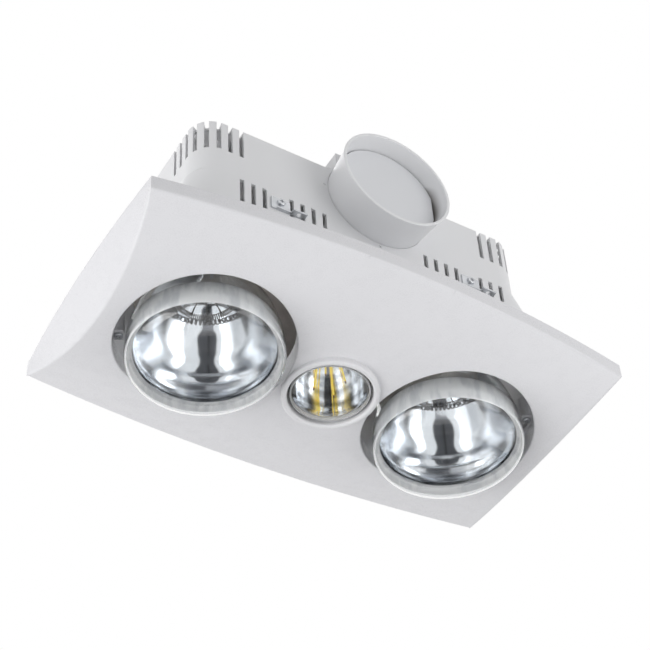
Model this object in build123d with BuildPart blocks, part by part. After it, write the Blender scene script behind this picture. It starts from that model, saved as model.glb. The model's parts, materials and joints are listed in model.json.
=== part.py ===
from build123d import *
from math import asin, atan2, cos, degrees, hypot, pi, radians, sin, sqrt, tan
import os

os.makedirs("parts", exist_ok=True)

# The heater is drawn as it hangs: the ceiling is the plane z = 0, the room is below it,
# X runs along the fascia and the duct leaves towards -Y. Lengths are millimetres.

# General clearances
cut_over = 40.0
seat_gap = 0.1
shaft_gap = 0.05
slip_gap = 0.3

# Fascia
half_length = 215.0
half_width = 112.0
rim_height = 13.5
near_bow = 18.0
far_bow = 13.0
lip_bow = 4.5
crease_bow = 13.5
crown = 20.5
fascia_wall = 2.5
lamp_x = 113.0
lamp_y = -2.0
lamp_hole_r = 72.0
collar_top = -16.0
centre_hole_r = 37.0
section_shares = (-1.1, -0.72, -0.36, 0.0, 0.36, 0.72, 1.1)
facet_run_shares = (-0.6, 1.5)

# Fascia screws and the tabs that they pass through
tab_angle = 30.0
tab_reach = 8.5
tab_width = 11.0
tab_thickness = 2.0
fascia_screw_r = 1.9
fascia_screw_length = 14.0
fascia_screw_head_r = 3.6
fascia_screw_head = 2.2

# Centre trim ring
trim_outer_r = 40.3
trim_opening_r = 35.0
trim_bead = 3.5
trim_sleeve_r = 36.8
trim_sleeve_top = -20.0
trim_skirt_top = -29.0

# Housing
box_left = 162.5
box_right = 148.0
box_near = 85.0
box_far = 81.0
box_corner_r = 22.0
box_top = 136.0
skirt_top = 76.0
skirt_mid = 42.0
skirt_half = 190.0
skirt_mid_in = 15.0
skirt_corner_r = 40.0
skirt_mid_corner_r = 36.0
ledge = 2.5
housing_wall = 2.2
flange_thickness = 3.0
flange_half_length = 203.0
flange_half_width = 102.0
flange_corner_r = 12.0

# Raised hood over the duct outlet, and the dome over the motor
hood_left = -33.0
hood_right = 38.0
hood_top = 161.0
hood_fair = 16.0
hood_fair_run = 13.0
hood_back = -25.0
dome_r = 40.0

# Ventilation slots
slot_width = 4.0
slot_pitch = 10.2
slot_bottom = 103.0
slot_inset = 7.0
slot_count = 8
slot_start = 16.4
low_slot_top = 75.0
low_slot_bottom = 46.0
low_slot_inner = 48.6
low_slot_outer = 103.8
low_inner_count = 4
low_outer_count = 3

# Duct spigot
duct_x = 3.6
duct_z = 112.5
duct_root_r = 46.5
duct_mouth_r = 50.2
duct_lip_r = 51.3
duct_lip = 1.6
duct_wall = 1.6
duct_reach = 34.2
duct_flange_r = 53.0
duct_flange = 4.0
duct_screw_circle = 50.0
duct_screw_r = 1.2
duct_screw_head_r = 2.6
duct_screw_head = 1.5
duct_screw_length = 5.4
duct_seal_inset = 0.5

# Damper flap and its pin
flap_r = 45.8
flap_thickness = 1.5
flap_setback = 15.2
flap_chord = 43.9
pin_offset = 18.0
pin_r = 1.25
barrel_r = 2.6
barrel_length = 16.0
barrel_spacing = 58.0

# Mounting brackets
bracket_x_left = -90.0
bracket_x_right = 92.0
bracket_width = 17.0
bracket_top = 68.5
bracket_screw_z = 64.0
bracket_height = 13.0
bracket_sheet = 1.5
foot_length = 13.0
foot_reach = 5.0
foot_hole_r = 1.75
bracket_screw_r = 2.0
bracket_screw_head_r = 3.6
bracket_screw_head = 2.0
bracket_screw_length = 7.5
bracket_boss_r = 4.5
bracket_boss = 7.0

# Heat lamps
lamp_max_r = 61.9
lamp_max_z = -40.0
lamp_apex = -64.0
lamp_neck_r = 19.0
lamp_neck_z = 60.0
lamp_seal_z = 80.0
lamp_end_z = 106.0
glass_wall = 1.2
cap_r = 13.1
cap_thread = 0.7
cap_pitch = 3.6
cap_insulator = 4.0
contact_r = 4.5
contact_height = 2.0
seal_r = 11.5
seal_drop = 6.0
seal_rise = 8.0
lens_shares = ((0.48, 0.16), (0.80, 0.50), (0.94, 0.75))
bowl_shares = ((0.963, 0.83), (0.84, 0.62), (0.60, 0.42), (0.30, 0.26), (0.08, 0.13))

# Centre lamp
spot_max_r = 32.9
spot_max_z = -33.5
spot_apex = -41.5
spot_neck_r = 14.0
spot_neck_z = 24.0
spot_seal_z = 33.0
spot_end_z = 59.0

# Stems and filaments
stem_r = 4.5
stem_foot_r = 10.0
stem_foot = 3.0
stem_bead = 2.0
stem_length = 46.0
spot_stem_length = 16.0
coil_r = 1.5
coil_ring_r = 24.0
coil_drop = 18.0
leg_r = 0.6
leg_circle = 6.0
leg_count = 6
stick_r = 0.9
stick_length = 50.0
stick_tilt = 9.0
stick_circle = 5.5
stick_count = 4

# Lamp holders and their brackets
holder_r = 20.0
holder_length = 44.0
holder_bore_gap = 1.2
spot_holder_r = 17.0
spot_holder_length = 34.0
hanger_sheet = 1.2
hanger_half_span = 32.0
hanger_foot = 11.0
hanger_width = 24.0
hanger_drop = 9.8
spot_hanger_half_span = 36.0
hanger_screw_r = 1.5
hanger_screw_head_r = 2.9
hanger_screw_head = 1.7
hanger_screw_length = 5.0
roof_boss_r = 4.0
roof_boss = 4.0

# Heat shield under the fan
shield_z = 56.0
shield_sheet = 1.2
shield_half_length = 148.0
shield_half_width = 72.0
shield_corner_r = 14.0
shield_hole_r = 34.0
shield_spot_hole_r = 26.0
post_x = 134.0
post_y = 64.0
post_r = 4.5
shield_screw_length = 10.0

# Fan
fan_x = -23.0
fan_y = 8.0
scroll_floor = 78.0
scroll_height = 44.0
scroll_wall = 1.8
scroll_start_r = 66.0
scroll_end_r = 46.0
scroll_sweep = 252.0
scroll_steps = 8
inlet_r = 34.0
impeller_r = 42.0
blade_depth = 9.0
blade_thickness = 1.0
blade_count = 24
blade_tilt = 30.0
impeller_floor_gap = 4.0
impeller_height = 34.0
impeller_ring = 2.0
impeller_ring_width = 3.0
impeller_plate = 1.4
hub_r = 8.0
hub_height = 10.0
shaft_r = 2.5
nut_r = 5.0
nut_height = 4.0

# Motor
mount_height = 3.0
mount_r = 5.0
motor_bolt_spacing = 50.0
motor_bolt_r = 1.5
motor_bolt_head_r = 3.0
motor_bolt_head = 1.8
strap_sheet = 1.5
strap_width = 16.0
spacer_r = 3.0
bearing_r = 5.5
bearing_height = 4.0
boss_wall = 1.6
stator_length = 60.0
stator_width = 40.0
stator_corner_r = 6.0
stator_height = 14.0
stator_gap = 3.6
rotor_r = 11.0
air_gap = 0.4
coil_outer_r = 18.0
coil_inner_r = 13.0
coil_thickness = 3.0

# Wiring
wiring_x = 98.0
wiring_y = 38.0
block_length = 60.0
block_width = 18.0
block_height = 11.0
block_foot = 6.0
pole_count = 5
pole_pitch = 8.0
pole_screw_r = 1.9
pole_screw_head = 3.0
cover_length = 78.0
cover_shift = 3.0
cover_width = 44.0
cover_height = 25.0
cover_wall = 1.8
cover_corner_r = 5.0
cover_ear = 9.0
ear_shift = 28.0
cover_screw_r = 1.5
gland_r = 7.5
gland_bore_r = 4.0
gland_flange_r = 10.5
gland_flange = 4.0
gland_shift = 20.0
gland_reach = 14.0
gland_nut_r = 10.5
gland_nut = 4.0
grommet_length = 42.0
grommet_width = 9.0
grommet_lip = 1.6
grommet_seat = 0.9
lead_r = 1.2
lead_end_gap = 0.6
bend_share = 0.45
cutout_r = 7.5
cutout_height = 5.0
cutout_flange = 1.0
earth_y = 60.0
earth_screw_r = 1.9
earth_screw_head_r = 3.6
earth_screw_head = 2.4
earth_washer = 2.6

# Derived places
face_low = -(rim_height + crown)
box_length = box_left + box_right
box_x = (box_right - box_left) / 2
box_width = box_near + box_far
box_y = (box_far - box_near) / 2
roof_under = box_top - housing_wall
lid_z = scroll_floor + scroll_height
lid_top = lid_z + scroll_wall
duct_mouth_y = -box_near - duct_reach
duct_seat_y = -box_near + housing_wall
duct_seal_r = duct_root_r - duct_seal_inset
scroll_mouth_y = duct_seat_y + duct_flange + seat_gap
lower_strap_z = lid_top + mount_height
stator_z = lower_strap_z + strap_sheet + stator_gap
upper_strap_z = stator_z + stator_height + stator_gap
flap_y = duct_mouth_y + flap_setback
pin_y = flap_y + barrel_r
tab_circle_r = lamp_hole_r - tab_reach / 2
block_z = box_top + block_foot
grommet_low = roof_under - grommet_seat


# A screw with a pan head above its own plane z = 0 and a crossed recess in the head
def cross_screw(head_r, head_height, shank_r, shank_length):
    recess_length = head_r * 1.15
    recess_width = head_r / 4
    with BuildPart() as screw:
        with BuildSketch():
            Circle(head_r)
        extrude(amount=head_height)
        fillet(screw.faces().sort_by(Axis.Z)[-1].edges(), head_height / 2)
        with BuildSketch():
            Circle(shank_r)
        extrude(amount=-shank_length)
        with BuildSketch(Plane.XY.offset(head_height)):
            Rectangle(recess_length, recess_width)
            Rectangle(recess_width, recess_length)
        extrude(amount=-head_height / 2, mode=Mode.SUBTRACT)
    return screw.part


# A lead of constant radius along straight runs joined by tangent arcs
def lead_along(points):
    runs = [points[i + 1] - points[i] for i in range(len(points) - 1)]
    radii = []
    for before, after in zip(runs, runs[1:]):
        turn = radians(before.get_angle(after))
        reach = bend_share * min(before.length, after.length)
        if not radii:
            reach = min(reach, grommet_low - points[1].Z)
        radii.append(reach / tan(turn / 2))
    print("lead radii", [round(radius, 1) for radius in radii])
    with BuildPart() as lead:
        with BuildLine() as route:
            FilletPolyline(*points, radius=radii)
        with BuildSketch(Plane(origin=points[0], z_dir=runs[0])):
            Circle(lead_r)
        sweep(path=route.line)
    return lead.part


# Cross section of the fascia at one place along X, with its wall taken off by the inset
def fascia_section(x, inset, top):
    taper = 1 - (x / half_length) ** 2
    near = half_width + near_bow * taper - inset
    far = half_width + far_bow * taper - inset
    rim = inset - rim_height
    low = rim - crown
    with BuildSketch(Plane.YZ.offset(x)) as section:
        with BuildLine():
            Polyline((far, rim), (far, top), (-near, top), (-near, rim))
            Bezier((-near, rim), (-near / 2, low), (0, low))
            Bezier((0, low), (far / 2, low), (far, rim))
        make_face()
    return section.sketch


# Section of what is cut away past an end facet: a straight run from lip to crease
def facet_section(y, inset, side):
    bulge = 1 - (y / half_width) ** 2
    lip = half_length + lip_bow * bulge - inset
    crease = half_length - crease_bow * bulge - inset
    fall = rim_height + crown * bulge
    start, end = facet_run_shares
    upper = (side * (lip + start * (crease - lip)), -start * fall)
    lower = (side * (lip + end * (crease - lip)), -end * fall)
    outside = side * (half_length + cut_over)
    with BuildSketch(Plane.XZ.offset(-y)) as section:
        with BuildLine():
            Polyline(upper, lower, (outside, lower[1]), (outside, upper[1]), upper)
        make_face()
    return section.sketch


# Solid of the crowned and bowed fascia, or of its hollow when an inset is given
def fascia_form(inset, top):
    sections = [fascia_section(share * half_length, inset, top) for share in section_shares]
    reach = half_width + near_bow
    with BuildPart() as form:
        loft(sections=sections)
        for side in (-1, 1):
            ends = [facet_section(share * reach, inset, side) for share in section_shares]
            loft(sections=ends, mode=Mode.SUBTRACT)
    return form.part


tab_places = []
for side in (-1, 1):
    for turn in (-tab_angle, tab_angle):
        tab_x = side * (lamp_x + tab_circle_r * cos(radians(turn)))
        tab_y = lamp_y + tab_circle_r * sin(radians(turn))
        tab_places.append((tab_x, tab_y, side * turn))

lamp_places = [(-lamp_x, lamp_y), (lamp_x, lamp_y)]
fascia_body = fascia_form(0, 0)
fascia_hollow = fascia_form(fascia_wall, fascia_wall)

with BuildPart() as hollow_cut:
    add(fascia_hollow)
    with BuildSketch(Plane.XY.offset(collar_top)):
        with Locations(*lamp_places):
            Circle(lamp_hole_r + fascia_wall)
    extrude(amount=-cut_over, mode=Mode.SUBTRACT)

with BuildPart() as fascia:
    add(fascia_body)
    add(hollow_cut.part, mode=Mode.SUBTRACT)
    with BuildSketch(Plane.XY.offset(-cut_over)):
        with Locations(*lamp_places):
            Circle(lamp_hole_r)
        with Locations((0, lamp_y)):
            Circle(centre_hole_r)
    extrude(amount=2 * cut_over, mode=Mode.SUBTRACT)
    for tab_x, tab_y, turn in tab_places:
        with Locations(Location((tab_x, tab_y, collar_top - tab_thickness / 2), (0, 0, turn))):
            Box(tab_reach + fascia_wall, tab_width, tab_thickness)
            Cylinder(fascia_screw_r + shaft_gap, tab_thickness, mode=Mode.SUBTRACT)
fascia.part.label = "fascia"
export_step(fascia.part, "parts/fascia.step")

fascia_screw = cross_screw(
    fascia_screw_head_r, fascia_screw_head, fascia_screw_r, fascia_screw_length
)
with BuildPart() as fascia_screws:
    with Locations(*[
        Location((x, y, collar_top - tab_thickness), (180, 0, 0)) for x, y, turn in tab_places
    ]):
        add(fascia_screw)
fascia_screws.part.label = "fascia_screws"
export_step(fascia_screws.part, "parts/fascia_screws.step")

# A solid turned about the upright line through (x, y) from points of (radius, height)
def turned(x, y, outline):
    with BuildPart() as body:
        with BuildSketch(Plane((x, y, 0), x_dir=(1, 0, 0), z_dir=(0, -1, 0))):
            with BuildLine():
                Polyline(*outline, close=True)
            make_face()
        revolve(axis=Axis((x, y, 0), (0, 0, 1)))
    return body.part


# The trim ring's bead follows the crown of the face that it sits on
trim_low = face_low - trim_bead
trim_round = trim_low + trim_bead / 2
with BuildPart() as centre_trim_ring:
    with BuildSketch(Plane((0, lamp_y, 0), x_dir=(1, 0, 0), z_dir=(0, -1, 0))):
        with BuildLine():
            Polyline(
                (trim_opening_r, trim_round),
                (trim_opening_r, trim_skirt_top),
                (trim_outer_r, trim_skirt_top),
                (trim_outer_r, trim_round),
            )
            ThreePointArc(
                (trim_outer_r, trim_round),
                ((trim_outer_r + trim_opening_r) / 2, trim_low),
                (trim_opening_r, trim_round),
            )
        make_face()
    revolve(axis=Axis((0, lamp_y, 0), (0, 0, 1)))
    add(fascia_body, mode=Mode.SUBTRACT)
    with BuildSketch(Plane.XY.offset(trim_sleeve_top)):
        with Locations((0, lamp_y)):
            Circle(trim_sleeve_r)
            Circle(trim_opening_r, mode=Mode.SUBTRACT)
    extrude(amount=trim_round - trim_sleeve_top)
centre_trim_ring.part.label = "centre_trim_ring"
export_step(centre_trim_ring.part, "parts/centre_trim_ring.step")


# Box of the housing with its flared skirt, or its hollow when an inset is given
def housing_form(inset, top, low):
    levels = (
        (low, 0, 0, skirt_corner_r),
        (skirt_mid, skirt_mid_in, skirt_mid_in, skirt_mid_corner_r),
        (
            skirt_top,
            skirt_half - box_left - ledge,
            skirt_half - box_right - ledge,
            box_corner_r + ledge,
        ),
    )
    skirts = []
    for height, left_in, right_in, corner in levels:
        length = 2 * skirt_half - left_in - right_in - 2 * inset
        with BuildSketch(Plane.XY.offset(height)) as skirt:
            with Locations(((left_in - right_in) / 2, box_y)):
                RectangleRounded(length, box_width - 2 * inset, corner - inset)
        skirts.append(skirt.sketch)
    with BuildSketch(Plane.XY.offset(skirt_top + ledge)) as shoulder:
        with Locations((box_x, box_y)):
            RectangleRounded(
                box_length - 2 * inset, box_width - 2 * inset, box_corner_r - inset
            )
    with BuildPart() as form:
        loft(sections=skirts)
        loft(sections=[skirts[-1], shoulder.sketch], ruled=True)
        add(extrude(shoulder.sketch, amount=top - skirt_top - ledge, mode=Mode.PRIVATE))
    return form.part


# Hood over the duct outlet, seen along the duct: an arc fairs each foot into the roof
def hood_form(inset, base):
    left = hood_left + inset
    right = hood_right - inset
    turn = asin(hood_fair_run / hood_fair)
    rise = hood_fair * (1 - cos(turn))
    half_run = hood_fair_run - hood_fair * sin(turn / 2)
    half_rise = hood_fair * (1 - cos(turn / 2))
    with BuildPart() as form:
        with BuildSketch(Plane.XZ.offset(box_near - inset)):
            with BuildLine():
                Polyline(
                    (left, base + rise),
                    (left, hood_top - inset),
                    (right, hood_top - inset),
                    (right, base + rise),
                )
                ThreePointArc(
                    (right, base + rise),
                    (right + half_run, base + half_rise),
                    (right + hood_fair_run, base),
                )
                Polyline(
                    (right + hood_fair_run, base),
                    (right + hood_fair_run, base - housing_wall),
                    (left - hood_fair_run, base - housing_wall),
                    (left - hood_fair_run, base),
                )
                ThreePointArc(
                    (left - hood_fair_run, base),
                    (left - half_run, base + half_rise),
                    (left, base + rise),
                )
            make_face()
        extrude(amount=-(box_near + hood_back - inset))
    return form.part


# Places of the top slots: a run along the wall, round the corner and on, at one pitch
def slot_locations():
    quarter = pi / 2 * box_corner_r
    locations = []
    for side, edge in ((-1, box_left), (1, box_right)):
        for end, wall in ((-1, box_near), (1, box_far)):
            for step in range(slot_count):
                run = step * slot_pitch - slot_start
                turn = min(max(run / box_corner_r, 0), pi / 2)
                along = min(run, 0)
                beyond = max(run - quarter, 0)
                x = edge - box_corner_r + box_corner_r * sin(turn) + along
                y = wall - box_corner_r + box_corner_r * cos(turn) - beyond
                angle = degrees(turn)
                locations.append(Location(
                    (side * x, end * y, (slot_bottom + hood_top) / 2),
                    (0, 0, -side * end * angle),
                ))
    return locations


low_slots = [low_slot_inner + slot_pitch * step for step in range(low_inner_count)]
low_slots += [low_slot_outer + slot_pitch * step for step in range(low_outer_count)]
hanger_feet = []
for x, y in lamp_places:
    for side in (-1, 1):
        hanger_feet.append((x + side * (hanger_half_span - hanger_foot / 2), y))
post_places = [(i * post_x, lamp_y + j * post_y) for i in (-1, 1) for j in (-1, 1)]
lid_posts = [
    (fan_x + scroll_start_r - 2 * post_r, -box_near / 2),
    (fan_x + scroll_end_r * cos(radians(scroll_sweep)) + 2 * post_r, post_r - post_y),
    (fan_x - dome_r, fan_y + dome_r / 2),
]
ear_places = [
    (wiring_x + ear_shift, wiring_y - cover_width / 2 - cover_ear / 2),
    (wiring_x - ear_shift, wiring_y + cover_width / 2 + cover_ear / 2),
]
bracket_places = [
    (x, wall, end)
    for x in (bracket_x_left, bracket_x_right)
    for wall, end in ((-box_near, -1), (box_far, 1))
]
duct_plane = Plane((duct_x, -box_near, duct_z), x_dir=(1, 0, 0), z_dir=(0, -1, 0))

with BuildPart() as housing:
    add(housing_form(0, box_top, 0))
    add(hood_form(0, box_top))
    with Locations((fan_x, fan_y, 0)):
        Cylinder(dome_r, hood_top, align=(Align.CENTER, Align.CENTER, Align.MIN))
    with BuildSketch():
        with Locations((0, box_y)):
            RectangleRounded(2 * flange_half_length, 2 * flange_half_width, flange_corner_r)
    extrude(amount=-flange_thickness)
    with BuildSketch(Plane.XY.offset(box_top)):
        with Locations(*hanger_feet):
            Circle(roof_boss_r)
    extrude(amount=roof_boss)
    add(housing_form(housing_wall, roof_under, 0), mode=Mode.SUBTRACT)
    add(hood_form(housing_wall, roof_under), mode=Mode.SUBTRACT)
    with Locations((fan_x, fan_y, 0)):
        Cylinder(
            dome_r - housing_wall,
            hood_top - housing_wall,
            align=(Align.CENTER, Align.CENTER, Align.MIN),
            mode=Mode.SUBTRACT,
        )
    with BuildSketch(Plane.XY.offset(-flange_thickness)):
        with Locations((0, box_y)):
            RectangleRounded(
                2 * (skirt_half - housing_wall),
                box_width - 2 * housing_wall,
                skirt_corner_r - housing_wall,
            )
    extrude(amount=flange_thickness, mode=Mode.SUBTRACT)
    with BuildSketch(Plane.XY.offset(shield_z + shield_sheet + seat_gap)):
        with Locations(*post_places):
            Circle(post_r)
    extrude(amount=roof_under - shield_z - shield_sheet - seat_gap)
    for x, y in lid_posts:
        post_end = roof_under if y > 0 else hood_top - housing_wall
        with BuildSketch(Plane.XY.offset(lid_top)):
            with Locations((x, y)):
                Circle(post_r)
        extrude(amount=post_end - lid_top)
    with BuildSketch(Plane.XY.offset(roof_under)):
        with Locations(*ear_places):
            Circle(roof_boss_r)
    extrude(amount=-roof_boss)
    for x, y, turn in tab_places:
        side = 1 if x > 0 else -1
        web = skirt_half - housing_wall / 2 - abs(x)
        boss_low = collar_top + seat_gap
        with BuildSketch(Plane.XY.offset(boss_low)):
            with Locations((x, y)):
                Circle(post_r)
            with Locations((x + side * web / 2, y)):
                Rectangle(web, post_r)
        extrude(amount=-boss_low + post_r)
    for x, wall, end in bracket_places:
        seat = Plane((x, wall, bracket_screw_z), x_dir=(1, 0, 0), z_dir=(0, end, 0))
        with BuildSketch(seat):
            Circle(bracket_boss_r)
        extrude(amount=-bracket_boss)
        with BuildSketch(seat):
            Circle(bracket_screw_r + shaft_gap)
        extrude(amount=-bracket_boss, mode=Mode.SUBTRACT)
    with Locations(*slot_locations()):
        Box(slot_width, 2 * slot_inset, hood_top - slot_bottom, mode=Mode.SUBTRACT)
    for side in (-1, 1):
        for end, wall in ((-1, box_near), (1, box_far)):
            with Locations(*[
                (side * x, end * (wall - housing_wall / 2), (low_slot_top + low_slot_bottom) / 2)
                for x in low_slots
            ]):
                Box(
                    slot_width,
                    3 * housing_wall,
                    low_slot_top - low_slot_bottom,
                    mode=Mode.SUBTRACT,
                )
    with BuildSketch(duct_plane):
        Circle(duct_root_r + slip_gap)
    extrude(amount=-housing_wall - duct_flange, mode=Mode.SUBTRACT)
    with BuildSketch(duct_plane):
        with PolarLocations(duct_screw_circle, 3, start_angle=180, angular_range=180, endpoint=True):
            Circle(duct_screw_r + shaft_gap)
    extrude(amount=-housing_wall - duct_flange, mode=Mode.SUBTRACT)
    with BuildSketch(Plane.XY.offset(roof_under)):
        with Locations((wiring_x, wiring_y)):
            SlotOverall(grommet_length, grommet_width)
    extrude(amount=housing_wall, mode=Mode.SUBTRACT)
    with BuildSketch(Plane.XY.offset(collar_top)):
        with Locations(*[(x, y) for x, y, turn in tab_places]):
            Circle(fascia_screw_r + shaft_gap)
    extrude(amount=fascia_screw_length, mode=Mode.SUBTRACT)
    with BuildSketch(Plane.XY.offset(roof_under)):
        with Locations(*hanger_feet):
            Circle(hanger_screw_r + shaft_gap)
    extrude(amount=hanger_screw_length, mode=Mode.SUBTRACT)
    with BuildSketch(Plane.XY.offset(shield_z)):
        with Locations(*post_places):
            Circle(hanger_screw_r + shaft_gap)
    extrude(amount=shield_screw_length, mode=Mode.SUBTRACT)
    with BuildSketch(Plane.XY.offset(lid_z)):
        with Locations(*lid_posts):
            Circle(hanger_screw_r + shaft_gap)
    extrude(amount=shield_screw_length, mode=Mode.SUBTRACT)
    with BuildSketch(Plane.XY.offset(box_top)):
        with Locations(*ear_places):
            Circle(cover_screw_r + shaft_gap)
    extrude(amount=-housing_wall - roof_boss, mode=Mode.SUBTRACT)
housing.part.label = "housing"
export_step(housing.part, "parts/housing.step")

# The spigot is turned about its own axis, from points of (radius, y)
with BuildPart() as duct_spigot:
    with BuildSketch(Plane((duct_x, 0, duct_z), x_dir=(1, 0, 0), z_dir=(0, 0, 1))):
        with BuildLine():
            Polyline(
                (duct_root_r - duct_wall, duct_seat_y + duct_flange),
                (duct_flange_r, duct_seat_y + duct_flange),
                (duct_flange_r, duct_seat_y),
                (duct_root_r, duct_seat_y),
                (duct_root_r, -box_near),
                (duct_mouth_r, duct_mouth_y + duct_lip),
                (duct_lip_r, duct_mouth_y + duct_lip),
                (duct_lip_r, duct_mouth_y),
                (duct_mouth_r - duct_wall, duct_mouth_y),
                (duct_root_r - duct_wall, -box_near),
                close=True,
            )
        make_face()
    revolve(axis=Axis((duct_x, 0, duct_z), (0, 1, 0)))
    with BuildSketch(Plane.XZ.offset(-duct_seat_y)):
        with Locations((duct_x, roof_under - seat_gap + duct_flange_r)):
            Rectangle(3 * duct_flange_r, 2 * duct_flange_r)
        with Locations((duct_x, duct_z)):
            Circle(duct_root_r, mode=Mode.SUBTRACT)
    extrude(amount=-duct_flange, mode=Mode.SUBTRACT)
    with BuildSketch(duct_plane):
        with PolarLocations(duct_screw_circle, 3, start_angle=180, angular_range=180, endpoint=True):
            Circle(duct_screw_r + shaft_gap)
    extrude(amount=-housing_wall - duct_flange, mode=Mode.SUBTRACT)
    with Locations((duct_x + pin_offset, pin_y, duct_z)):
        Cylinder(pin_r + shaft_gap, 2 * duct_mouth_r, mode=Mode.SUBTRACT)
duct_spigot.part.label = "duct_spigot"
export_step(duct_spigot.part, "parts/duct_spigot.step")

duct_screw = cross_screw(duct_screw_head_r, duct_screw_head, duct_screw_r, duct_screw_length)
duct_screw_places = []
for turn in (180, 270, 360):
    x = duct_x + duct_screw_circle * cos(radians(turn))
    z = duct_z + duct_screw_circle * sin(radians(turn))
    duct_screw_places.append(Location((x, duct_seat_y + duct_flange, z), (-90, 0, 0)))
with BuildPart() as spigot_screws:
    with Locations(*duct_screw_places):
        add(duct_screw)
spigot_screws.part.label = "spigot_screws"
export_step(spigot_screws.part, "parts/spigot_screws.step")

# The flap turns on barrels behind its face, off its centre, and has one straight side
flap_plane = Plane((duct_x, flap_y, duct_z), x_dir=(1, 0, 0), z_dir=(0, -1, 0))
barrel_places = [
    (duct_x + pin_offset, pin_y, duct_z + end * barrel_spacing / 2) for end in (-1, 1)
]
with BuildPart() as damper_flap:
    with BuildSketch(flap_plane):
        Circle(flap_r)
        with Locations((flap_chord + flap_r, 0)):
            Rectangle(2 * flap_r, 2 * flap_r, mode=Mode.SUBTRACT)
    extrude(amount=-flap_thickness)
    with Locations(*barrel_places):
        Cylinder(barrel_r, barrel_length)
    with Locations((duct_x + pin_offset, pin_y, duct_z)):
        Cylinder(pin_r + shaft_gap, 2 * flap_r, mode=Mode.SUBTRACT)
damper_flap.part.label = "damper_flap"
export_step(damper_flap.part, "parts/damper_flap.step")

bore_r = duct_root_r - duct_wall
pin_half = sqrt(bore_r ** 2 - pin_offset ** 2) + duct_wall
with BuildPart() as damper_pin:
    with Locations((duct_x + pin_offset, pin_y, duct_z)):
        Cylinder(pin_r, 2 * pin_half)
    chamfer(damper_pin.edges().filter_by(GeomType.CIRCLE), pin_r / 4)
damper_pin.part.label = "damper_pin"
export_step(damper_pin.part, "parts/damper_pin.step")


# Pressed bracket on the near wall: a plate for the screw and a foot bent outwards
def mounting_bracket(x, wall, end):
    low = bracket_top - bracket_height
    left = x - bracket_width / 2
    foot_y = wall + end * (bracket_sheet + foot_reach) / 2
    with BuildPart() as bracket:
        with BuildSketch(Plane((x, wall, 0), x_dir=(-end, 0, 0), z_dir=(0, end, 0))):
            with Locations((0, bracket_top - bracket_height / 2)):
                Rectangle(bracket_width, bracket_height)
            with Locations((0, bracket_screw_z)):
                Circle(bracket_screw_r + shaft_gap, mode=Mode.SUBTRACT)
        extrude(amount=bracket_sheet)
        with BuildSketch(Plane.XY.offset(low)):
            with Locations((x + bracket_width / 2 + foot_length / 2, foot_y)):
                Rectangle(foot_length, bracket_sheet + foot_reach)
            with Locations((x + bracket_width / 4, wall + end * bracket_sheet)):
                Rectangle(bracket_width, 2 * bracket_sheet)
            with Locations((x + bracket_width / 2 + foot_length / 2, foot_y)):
                Circle(foot_hole_r, mode=Mode.SUBTRACT)
            with Locations((x, wall)):
                Rectangle(2 * (bracket_width + foot_length), 2 * seat_gap, mode=Mode.SUBTRACT)
        extrude(amount=bracket_sheet)
        with BuildSketch(Plane.XY.offset(low)):
            with Locations((x, wall - end * bracket_sheet)):
                Rectangle(2 * (bracket_width + foot_length), 2 * bracket_sheet)
        extrude(amount=bracket_height, mode=Mode.SUBTRACT)
    return bracket.part


with BuildPart() as mounting_brackets:
    for x, wall, end in bracket_places:
        add(mounting_bracket(x, wall, end))
mounting_brackets.part.label = "mounting_brackets"
export_step(mounting_brackets.part, "parts/mounting_brackets.step")

bracket_screw = cross_screw(
    bracket_screw_head_r, bracket_screw_head, bracket_screw_r, bracket_screw_length
)
with BuildPart() as bracket_screws:
    with Locations(*[
        Location((x, wall + end * bracket_sheet, bracket_screw_z), (-end * 90, 0, 0))
        for x, wall, end in bracket_places
    ]):
        add(bracket_screw)
bracket_screws.part.label = "bracket_screws"
export_step(bracket_screws.part, "parts/bracket_screws.step")


# Outer line of a lamp's glass from the middle of its lens to its neck, moved in by the inset
def glass_line(max_r, max_z, apex, neck_r, neck_z, inset):
    points = [(0, apex)]
    points += [(share * max_r, apex + rise * (max_z - apex)) for share, rise in lens_shares]
    points.append((max_r, max_z))
    for share, rise in bowl_shares:
        points.append((neck_r + share * (max_r - neck_r), neck_z - rise * (neck_z - max_z)))
    points.append((neck_r, neck_z))
    moved = []
    for i, (r, z) in enumerate(points):
        before = points[i - 1] if i else (-points[1][0], points[1][1])
        after = points[i + 1] if i + 1 < len(points) else (r, z + neck_r)
        run_r = after[0] - before[0]
        run_z = after[1] - before[1]
        if i + 1 == len(points):
            run_r = 0
        size = hypot(run_r, run_z)
        moved.append((r - inset * run_z / size, z + inset * run_r / size))
    return moved


# Glass of a lamp: lens, bowl, neck and the closed seal that sits in the cap
def glass_form(x, y, bulb, inset):
    max_r, max_z, apex, neck_r, neck_z, seal_z = bulb
    line = glass_line(max_r, max_z, apex, neck_r, neck_z, inset)
    top = seal_z + seal_rise - inset
    with BuildPart() as form:
        with BuildSketch(Plane((x, y, 0), x_dir=(1, 0, 0), z_dir=(0, -1, 0))):
            with BuildLine():
                Spline(*line, tangents=((1, 0), (0, 1)))
                Polyline(
                    line[-1],
                    (neck_r - inset, seal_z - seal_drop),
                    (seal_r - inset, seal_z),
                    (seal_r - inset, top),
                    (0, top),
                    line[0],
                )
            make_face()
        revolve(axis=Axis((x, y, 0), (0, 0, 1)))
    return form.part


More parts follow.
